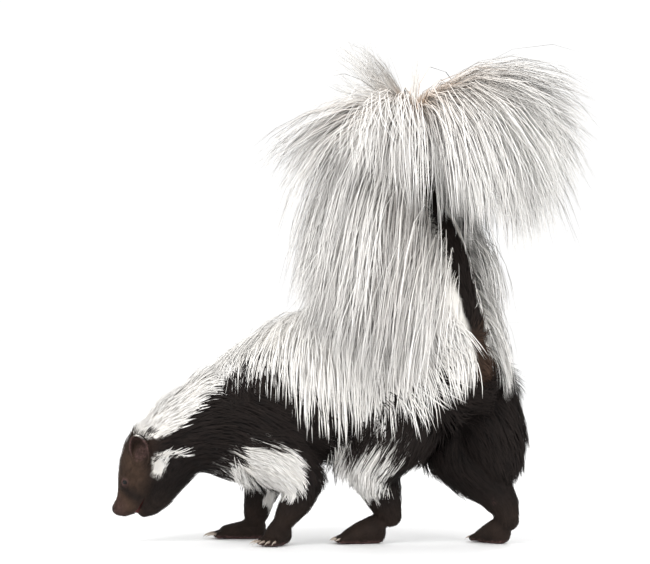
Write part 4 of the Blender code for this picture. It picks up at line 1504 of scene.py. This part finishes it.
    def gather(self, lines: Array, share: float, size: int, curl: float, luck: Array) -> Array:
        """Draw neighbouring tufts together at their tips.

        Args:
            lines: The middle lines.
            share: How far a tip moves to its guide's tip.
            size: Tufts to a clump.
            curl: Random bend of a whole clump, in millimetres.
            luck: Each tuft's own random numbers: two even ones and three normal ones.

        Returns:
            The gathered lines.
        """
        points = lines.shape[1]
        guides = np.flatnonzero(luck[:, 0] <= max(1 / size, luck[:, 0].min()))
        tree = KDTree(len(guides))
        for number, guide in enumerate(guides):
            tree.insert(lines[guide, 1], number)
        tree.balance()
        nearest = np.array([tree.find(root)[1] for root in lines[:, 1].tolist()])
        bend = curl * luck[guides, 2:]
        t = np.linspace(0, 1, points)[None, :, None] ** 1.4
        pull = share * (0.5 + 0.65 * luck[:, 1, None, None])
        target = lines[guides][nearest] + bend[nearest][:, None, :] * t
        return lines + (target - lines) * t * pull

    def luck(self, count: int) -> Array:
        """Two even and three normal random numbers for each tuft."""
        return np.concatenate((self.draw.random((count, 2)), self.draw.normal(0, 1, (count, 3))), axis=1)

    def unwrap(self, reading: Reading, roots: Array) -> Array:
        """Each root's place on an unwrap of the body, with a rectangle for each chain.

        Args:
            reading: The groom at the roots.
            roots: The roots.

        Returns:
            Places from 0 to 1.
        """
        present = np.unique(reading.chain)
        sizes = np.array([(reading.chain == number).sum() ** 0.5 for number in present])
        edges = np.concatenate(((0,), np.cumsum(sizes))) / sizes.sum()
        places = np.empty((len(roots), 2))
        for slot, number in enumerate(present):
            mine = reading.chain == number
            out = reading.out[mine]
            turn = np.arctan2(out[:, 1], out[:, 2] if number < 2 else out[:, 0]) / (2 * math.pi) + 0.5
            low, high = edges[slot] + 0.004, edges[slot + 1] - 0.004
            places[mine, 0] = low + (high - low) * turn
            places[mine, 1] = 0.01 + 0.98 * reading.share[mine]
        return places

    def marks(self, roots: Array, pale: Array, brown: Array) -> dict[str, Array]:
        """The numbers that each tuft carries.

        Args:
            roots: The roots.
            pale: How white each tuft is.
            brown: How brown each tuft is.

        Returns:
            The numbers by name.
        """
        count = len(roots)
        tint = np.clip(0.5 + 0.35 * ripple(roots, 8, 0.9) + self.draw.normal(0, 0.25, count), 0, 1)
        return {"pale": pale, "brown": brown, "tint": tint, "rust": np.zeros(count)}

    def keep(self, blades: Blades, name: str, slot: str) -> None:
        """Build the tufts as pieces that are small enough.

        Args:
            blades: The tufts.
            name: The pieces' name.
            slot: A material slot's name, which is not used.
        """
        each = 6 * (blades.paths.shape[1] - 2) + 4
        pieces = math.ceil(len(blades.paths) * each / MOST_FACES)
        order = np.argsort(blades.paths[:, 0, 0])
        for number, chosen in enumerate(np.array_split(order, pieces)):
            label = name if pieces == 1 else f"{name}_{number + 1}"
            blades.pick(chosen).build(self.maker, label, self.finish)

    def body(self) -> None:
        """The coat of everything but the plume."""
        centres = self.points[self.triangles].mean(1)
        reading = self.groom.read(centres)
        name = np.array(self.groom.names)[reading.chain]
        length = self.length(centres, reading)
        half = self.half_width(length)
        cover = np.where(length > 24, 5.4, np.where(length > 15, 3.4, np.where(length > 6, 2.3, 1.5)))
        density = cover / (length * half)
        density[(name == "tail") & (centres[:, 2] > 215) & (self.markings.strip(centres) < 0.3)] = 0
        density[self.bare(centres) > 0.5] = 0
        roots, normals = self.roots(self.tufts, density)
        reading = self.groom.read(roots)
        length = self.length(roots, reading) * self.draw.uniform(0.7, 1.2, len(roots))
        names = np.array(self.groom.names)[reading.chain]
        pale = (self.markings.pale(roots) > self.draw.uniform(0.3, 0.7, len(roots))).astype(float)
        pale[(np.linalg.norm((roots - (-168.5, 0, 90)) * (1, 0, 1), axis=1) < 19) & (np.abs(roots[:, 1]) > 19)] = 0
        pale *= self.draw.uniform(0.88, 1.0, len(roots))
        patched = (roots[:, 2] < 112) & (roots[:, 0] > -112)
        pale = np.where(patched, pale * self.draw.uniform(0.7, 1.0, len(roots)), pale)
        brown = np.clip(self.markings.brown(roots) * self.draw.uniform(0.6, 1.3, len(roots)), 0, 1)
        flow, lift, droop = self.flow(roots, normals, reading, names, pale)
        flow = flow + self.draw.normal(0, 0.13, flow.shape)
        half = self.half_width(length) * self.draw.uniform(0.8, 1.2, len(roots))
        marks = self.marks(roots, pale, brown)
        luck = self.luck(len(roots))
        regions = self.regions(roots, names, pale, length)
        for region, (lie, clump, size, slot) in self.REGIONS.items():
            mine = np.flatnonzero(regions == region)
            if not len(mine):
                continue
            lines = self.lay(roots[mine], normals[mine], flow[mine], length[mine], lift[mine], droop[mine],
                             lie.value - 1)
            lines = self.gather(lines, clump, size, 0.05 * float(length[mine].mean()), luck[mine])
            across = np.cross(flow[mine], normals[mine])
            picked = Reading(*(getattr(reading, key)[mine] for key in reading.__dataclass_fields__))
            mine_marks = {mark: numbers[mine] for mark, numbers in marks.items()}
            wide = half[mine] * (self.MANTLE_FINENESS if lie is Lie.LONG else 1.0)
            blades = Blades(lines, unit(across), normals[mine], wide, mine_marks, self.unwrap(picked, roots[mine]))
            self.keep(blades, region, slot)

    def bare(self, points: Array) -> Array:
        """Where no hair grows: nose pad, eyes, inner ears, soles.

        Args:
            points: Places in millimetres.

        Returns:
            1 where bare.
        """
        nose = np.linalg.norm(points - (-195.6, 0, 32.2), axis=1) < 6.0
        mouth = (stroke(points * (1, 0, 1), ((-177, 0, 21.8), (-163.2, 0, 44.6))) < 1.6) & (np.abs(points[:, 1]) < 12)
        eyes = (np.linalg.norm((points - (-182.3, 0, 58.8)) * (1, 0, 1), axis=1) < 3.6) & (np.abs(points[:, 1]) > 8)
        soles = points[:, 2] < 2.5
        return (nose | mouth | eyes | soles).astype(float)

    def length(self, points: Array, reading: Reading) -> Array:
        """Length of the coat.

        Args:
            points: Places in millimetres.
            reading: The groom there.

        Returns:
            Lengths in millimetres.
        """
        length = reading.coat.copy()
        pale = self.markings.pale(points)
        trunk = smooth_step(-112, -40, points[:, 0]) * (points[:, 2] > 90)
        length *= 1 + 0.95 * pale * trunk
        strip = self.markings.strip(points)
        length = length * (1 - strip) + 15.0 * strip
        fringe = trunk * (1 - smooth_step(60, 95, points[:, 2]))
        length *= 1 + 0.3 * fringe
        for sign in (-1, 1):
            ear = np.linalg.norm(points - (-168.5, sign * 25.5, 90), axis=1)
            length = np.where((ear < 17) & (np.abs(points[:, 1]) > 21), 2.6, length)
        return np.maximum(length, 1.2)

    def half_width(self, length: Array) -> Array:
        """Half width of a tuft of some length."""
        return 0.05 + 0.075 * np.sqrt(length)

    def flow(self, roots: Array, normals: Array, reading: Reading, names: Array,
             pale: Array) -> tuple[Array, Array, Array]:
        """The lie, the rise and the droop of each tuft.

        Args:
            roots: The roots.
            normals: The skin's normals there, which are not used.
            reading: The groom there.
            names: The chain's name at each root.
            pale: How white each tuft is.

        Returns:
            The flow, the lift and the droop.
        """
        flow = reading.flow.copy()
        trunk = smooth_step(-125, -60, roots[:, 0]) * np.isin(names, ("torso", "tail"))
        mantle = trunk * np.maximum(pale > 0.5, self.markings.pale(roots + (0.0, 0.0, 22.0)) > 0.5)
        flow = flow * (1 - 0.75 * mantle)[:, None] - UP * (0.5 * trunk + 0.7 * mantle)[:, None]
        flow[:, 0] -= 0.15 * mantle
        # The cream swirl on the left of the tail's root flows away from the strip, then down.
        middle = roots - np.array(self.SWIRL_MIDDLE)
        round_it = unit(np.stack((-middle[:, 2], 0 * middle[:, 0], middle[:, 0]), axis=1) + (-8.0, 0, -14.0))
        swirl = np.exp(-(np.linalg.norm(middle / self.SWIRL_HALF, axis=1)) ** 2.0) * (roots[:, 1] < 10)
        swirl = swirl * (1 - smooth_step(112, 124, roots[:, 0]))
        swirl = np.clip(1.8 * swirl, 0, 1)[:, None]
        flow = unit(flow) * (1 - swirl) + round_it * swirl
        lift = 0.22 + 0.1 * trunk + 0.12 * (roots[:, 0] < -140)
        droop = 0.12 * trunk + 0.25 * trunk * (pale > 0.5)
        return flow, lift * self.draw.uniform(0.7, 1.5, len(roots)), droop

    def regions(self, roots: Array, names: Array, pale: Array, length: Array) -> Array:
        """The piece that each tuft belongs to.

        Args:
            roots: The roots.
            names: The chain's name at each root.
            pale: How white each tuft is.
            length: Length of each tuft.

        Returns:
            The pieces' names.
        """
        head = np.isin(names, ("skull", "muzzle", "jaw"))
        paws = np.array([name.startswith(("forepaw", "hindpaw")) for name in names])
        legs = np.array(["leg" in name or "hamstring" in name for name in names])
        chosen = np.full(len(roots), "coat_flanks", dtype=object)
        chosen[legs] = "coat_legs"
        chosen[names == "neck"] = "coat_neck"
        chosen[(pale > 0.5) & (length > 24)] = "coat_mantle"
        chosen[head] = "coat_face"
        chosen[paws] = "coat_feet"
        return chosen


@dataclass(frozen=True)
class Spray:
    """A bundle of long hair that leaves the tail one way and falls.

    Angles are in degrees: turn is 0 away from the head, 90 to the right and 270 to the left of the animal.
    """

    turn: float
    rise: float
    length: float
    fall: float
    spread: float
    tufts: int
    low: float = 0.93
    high: float = 1.0
    brown: float = 0.0


@dataclass
class Plume:
    """The long hair of the tail: a fountain at its tip, a curtain to the left and a soft column to the right."""

    coat: Coat
    box: tuple[Vector, Vector]
    steps: int = 5
    proud: float = 11.0
    fullness: float = 1.65
    FOUNTAIN: tuple = (
        Spray(-8, 44, 196, 0.46, 8, 270), Spray(12, 40, 200, 0.50, 9, 210), Spray(-26, 36, 206, 0.58, 9, 280),
        Spray(4, 34, 212, 0.68, 12, 330), Spray(-42, 32, 212, 0.76, 11, 340), Spray(30, 36, 200, 0.62, 13, 260),
        Spray(-56, 24, 196, 0.88, 10, 260), Spray(-30, 16, 205, 0.95, 12, 330), Spray(-64, 10, 160, 1.0, 8, 150),
        Spray(-10, 20, 210, 0.85, 13, 300), Spray(52, 34, 190, 0.66, 14, 240), Spray(72, 28, 192, 0.66, 14, 220),
        Spray(96, 28, 192, 0.56, 13, 200), Spray(120, 28, 180, 0.62, 14, 200), Spray(60, 8, 190, 1.0, 22, 220),
        Spray(183, 58, 104, 0.10, 5, 90), Spray(194, 46, 112, 0.13, 5, 80), Spray(262, 80, 72, 0.05, 7, 40),
        Spray(168, 66, 82, 0.12, 5, 60), Spray(200, 34, 112, 0.46, 8, 70), Spray(176, 36, 122, 0.55, 7, 110),
        Spray(190, 18, 180, 0.42, 8, 110), Spray(204, 8, 188, 0.50, 8, 120), Spray(160, 28, 172, 0.60, 12, 140),
        Spray(140, 28, 165, 0.66, 13, 150), Spray(222, 8, 165, 0.85, 9, 140), Spray(246, 0, 112, 1.3, 7, 130),
        Spray(232, 4, 128, 1.1, 7, 120), Spray(248, 18, 212, 0.34, 8, 120), Spray(262, 8, 200, 0.42, 8, 80),
    )
    FALLS: tuple = (
        Spray(180, 6, 205, 1.0, 20, 360, 0.74, 0.92), Spray(215, 0, 200, 1.1, 16, 320, 0.72, 0.90),
        Spray(150, 6, 190, 1.0, 20, 240, 0.70, 0.92), Spray(238, -8, 150, 1.1, 12, 360, 0.66, 0.88, 0.55),
        Spray(186, 8, 165, 0.75, 12, 420, 0.60, 0.82), Spray(188, -2, 190, 0.7, 14, 420, 0.46, 0.66),
        Spray(178, 0, 150, 0.7, 14, 300, 0.28, 0.46), Spray(184, 14, 172, 0.5, 10, 340, 0.42, 0.60),
        Spray(192, -6, 205, 1.0, 22, 400, 0.52, 0.76), Spray(222, -10, 175, 1.0, 16, 340, 0.48, 0.74, 0.4),
        Spray(150, -8, 180, 1.0, 22, 240, 0.46, 0.74), Spray(185, -18, 180, 0.9, 26, 400, 0.28, 0.54),
        Spray(222, -22, 130, 0.9, 16, 380, 0.30, 0.52), Spray(110, -10, 150, 1.0, 24, 300, 0.4, 0.9),
        Spray(60, -8, 125, 1.1, 24, 380, 0.45, 0.88), Spray(20, -10, 105, 1.1, 22, 420, 0.42, 0.85),
        Spray(50, -25, 82, 1.0, 26, 420, 0.12, 0.45), Spray(12, -25, 70, 1.0, 16, 380, 0.06, 0.45),
        Spray(120, -28, 100, 0.9, 24, 260, 0.12, 0.42), Spray(0, -30, 60, 1.0, 14, 300, 0.0, 0.2),
    )

    def build(self) -> None:
        """Root, shape and join the plume."""
        self.grow(self.FOUNTAIN, "tail_fountain", 0.78, 20)
        self.grow(self.FALLS, "tail_falls", 0.5, 12)

    def grow(self, sprays: tuple[Spray, ...], name: str, clump: float, size: int) -> None:
        """Make the pieces of some sprays.

        Args:
            sprays: The sprays.
            name: The pieces' name.
            clump: How far tips gather.
            size: Tufts to a clump.
        """
        coat, draw = self.coat, self.coat.draw
        tail = next(chain for chain in CHAINS if chain.name == "tail")
        centres, shares = tail.run()
        rows = np.concatenate([
            np.tile((s.turn, s.rise, s.length, s.fall, s.spread, s.low, s.high, s.brown, i),
                    (round(s.tufts * self.fullness), 1))
            for i, s in enumerate(sprays)
        ])
        count = len(rows)
        turn = np.radians(rows[:, 0] + draw.normal(0, 1, count) * rows[:, 4])
        rise = np.radians(rows[:, 1] + draw.normal(0, 0.55, count) * rows[:, 4])
        length = rows[:, 2] * (1.05 - 0.5 * draw.random(count) ** 1.6)
        fall = rows[:, 3] * draw.uniform(0.85, 1.2, count)
        share = rows[:, 5] + (rows[:, 6] - rows[:, 5]) * draw.random(count)
        middle = np.stack([np.interp(share, shares, centres[:, i]) for i in range(3)], axis=1)
        radial = np.stack((np.cos(turn), np.sin(turn), np.zeros(count)), axis=1)
        radius = np.interp(share, shares, [s[3] - 6 for s in tail.stations]) * draw.uniform(0.5, 1.0, count)
        start = middle + radial * radius[:, None]
        heading = radial * np.cos(rise)[:, None] + UP * np.sin(rise)[:, None]
        curl = draw.normal(0, 0.3, (count, 3)) * (1, 1, 0.5)
        lines, point = [start], start
        for step in range(self.steps):
            point = point + heading * (length / self.steps)[:, None]
            spot, normal = coat.nearest(point)
            height = ((point - spot) * normal).sum(1)
            need = np.where(step == 0, -20.0, 3.0 + 7.0 * draw.random(count))
            point = point + normal * np.maximum(need - height, 0)[:, None]
            lines.append(point)
            heading = unit(heading - UP * (fall * 4 / self.steps)[:, None] + curl / self.steps)
        lines = coat.gather(np.stack(lines, axis=1), clump, size, 7.0, coat.luck(count))
        lines[:, :, 2] = np.maximum(lines[:, :, 2], 2.0)
        lines = self.shorten(lines)
        across = unit(np.cross(radial, UP) + draw.normal(0, 0.35, (count, 3)))
        reading = coat.groom.read(start)
        streak = ripple(lines[:, 1], 9, 3.3)
        dark = draw.random(count) < 0.015 + 0.13 * (streak > 0.55)
        pale = np.where(dark, draw.uniform(0.3, 0.85, count), draw.uniform(0.96, 1.0, count))
        brown = np.clip(rows[:, 7] * draw.uniform(0.0, 1.0, count) + 0.35 * dark * draw.random(count), 0, 1)
        marks = coat.marks(start, pale, brown)
        marks["rust"] = np.exp(-((share - 0.99) / 0.035) ** 2) * draw.uniform(0.4, 1.0, count)
        outward = unit(radial * 0.7 + (0.0, -0.15, 0.55))
        half = (0.24 + 0.16 * draw.random(count)) * np.sqrt(length / 120)
        blades = Blades(lines, across, outward, half, marks, coat.unwrap(reading, start))
        coat.keep(blades, name, "coat_white")


    def shorten(self, lines: Array) -> Array:
        """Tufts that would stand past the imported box, drawn in towards their roots.

        Args:
            lines: The middle lines.

        Returns:
            The lines, none more than a little proud of the box.
        """
        low, high = ((np.array(corner) - self.coat.maker.place.metres(np.zeros(3))) / MM for corner in self.box)
        span = lines - lines[:, :1]
        past = np.maximum(lines - high - self.proud, 0) + np.maximum(low - self.proud - lines, 0)
        keep = 1 - (past / np.maximum(np.abs(span), 1)).max(axis=(1, 2))
        return lines[:, :1] + span * keep[:, None, None]


@dataclass
class Claws:
    """Five curved claws on each paw."""

    maker: MeshMaker
    half: float = 1.35
    sides: int = 8
    rings: int = 9

    def build(self) -> None:
        """One piece of claws for each paw."""
        finish = ClawFinish().build("claw_horn")
        for paw in PAWS:
            verts, faces, share = [], [], []
            for root, end, ahead in paw.toe_lines():
                self.claw(paw, root, end, ahead, verts, faces, share)
            obj = self.maker.mesh("claws_" + paw.name, np.array(verts), np.array(faces), {"along": np.array(share)})
            obj.data.materials.append(finish)
            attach(obj, "root")
            LOG.info("%s: %d triangles", obj.name, len(faces))

    def claw(self, paw: Paw, root: Array, end: Array, ahead: Array, verts: list, faces: list, share: list) -> None:
        """Add one claw.

        Args:
            paw: The paw.
            root: The toe's root.
            end: The toe's end.
            ahead: The toe's direction.
            verts: Points so far.
            faces: Triangles so far.
            share: Share of the way to the tip for each point so far.
        """
        start = root + (end - root) * 0.75
        reach = end + ahead * paw.claw
        side = np.cross(ahead, UP)
        first = len(verts)
        for ring in range(self.rings):
            t = ring / self.rings
            point = start + (reach - start) * t
            point[2] = start[2] + 1.8 * math.sin(math.pi * t * 0.8) - (end[2] - 1.0) * t * t
            size = self.half * (1 - t**1.6)
            for corner in range(self.sides):
                a = 2 * math.pi * corner / self.sides
                verts.append(point + side * (0.72 * size * math.cos(a)) + UP * (1.15 * size * math.sin(a)))
                share.append(t)
        verts.append(reach * (1, 1, 0) + UP * 1.0)
        share.append(1.0)
        verts.append(start)
        share.append(0.0)
        tip, root_point = len(verts) - 2, len(verts) - 1
        for ring in range(self.rings - 1):
            for corner in range(self.sides):
                a, b = first + ring * self.sides + corner, first + ring * self.sides + (corner + 1) % self.sides
                faces += [(a, a + self.sides, b), (b, a + self.sides, b + self.sides)]
        last = first + (self.rings - 1) * self.sides
        for corner in range(self.sides):
            after = (corner + 1) % self.sides
            faces.append((last + corner, tip, last + after))
            faces.append((first + corner, first + after, root_point))


@dataclass
class Studio:
    """Pale floor, soft light and the camera of the photograph."""

    # Each lamp: place in metres, width in metres and power in watts.
    LAMPS = {
        "key": ((-1.3, -1.7, 1.9), 1.1, 25),
        "fill": ((1.6, -1.7, 1.2), 1.3, 18),
        "rim": ((0.9, 1.7, 1.7), 1.0, 12),
        "spark": ((-1.15, -2.0, 1.05), 0.12, 2.0),
    }
    AIM = (0, 0, 0.2)
    ROOM = 1.05  # strength of the even light from all round

    maker: MeshMaker
    lens: float = 145.75
    far: float = 2500.0
    height: float = 248.0
    middle: float = 6.65

    def build(self) -> None:
        """Set up everything round the animal."""
        self.floor()
        self.lights()
        self.camera()
        LOG.info("studio: floor, lights, camera")

    def floor(self) -> None:
        """A plain pale floor."""
        bm = bmesh.new()
        bmesh.ops.create_grid(bm, x_segments=2, y_segments=2, size=14)
        floor = self.maker.of_bmesh("floor", bm)
        book = NodeBook("floor")
        book.feed(book.shader, {
            "Base Color": book.mix(book.noise(3.0) * 0.3, (0.965, 0.965, 0.965), (0.95, 0.95, 0.945)),
            "Roughness": 0.7,
        })
        floor.data.materials.append(book.material)
        floor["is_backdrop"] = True

    def lights(self) -> None:
        """A bright even room, large soft lamps, and a small one for the glint in the eye."""
        world = bpy.data.worlds.new("room")
        bpy.context.scene.world = world
        world.use_nodes = True
        world.node_tree.nodes["Background"].inputs[0].default_value = (1.0, 1.0, 1.0, 1)
        world.node_tree.nodes["Background"].inputs[1].default_value = self.ROOM
        for name, (spot, size, power) in self.LAMPS.items():
            light = bpy.data.lights.new(name, "AREA")
            light.size = size
            light.energy = power
            lamp = bpy.data.objects.new(name, light)
            bpy.context.scene.collection.objects.link(lamp)
            lamp.location = spot
            lamp.rotation_euler = (Vector(self.AIM) - Vector(spot)).to_track_quat("-Z", "Y").to_euler()

    def camera(self) -> None:
        """A level camera in front of the left flank."""
        data = bpy.data.cameras.new("camera")
        data.lens = self.lens
        data.sensor_width = 36.0
        camera = bpy.data.objects.new("camera", data)
        bpy.context.scene.collection.objects.link(camera)
        camera.location = self.maker.place.vector((self.middle, -self.far, self.height))
        camera.rotation_euler = (math.radians(90), 0, 0)
        bpy.context.scene.camera = camera
        bpy.context.scene.view_settings.view_transform = "Standard"


def main() -> None:
    """Build the skunk piece by piece."""
    logging.basicConfig(level=logging.INFO, format="%(message)s")
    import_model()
    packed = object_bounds()
    place = Place.of_frame()
    maker = MeshMaker(place)
    markings = Markings()
    head = Head(maker)
    skin = Skin(maker, head, markings).build()
    Eyes(maker, head).build()
    Claws(maker).build()
    coat = Coat(maker, Groom(ALL_CHAINS), markings, CoatFinish().build("coat"))
    coat.plant(skin)
    coat.body()
    Plume(coat, packed).build()
    Studio(maker).build()


if __name__ == "__main__":
    main()
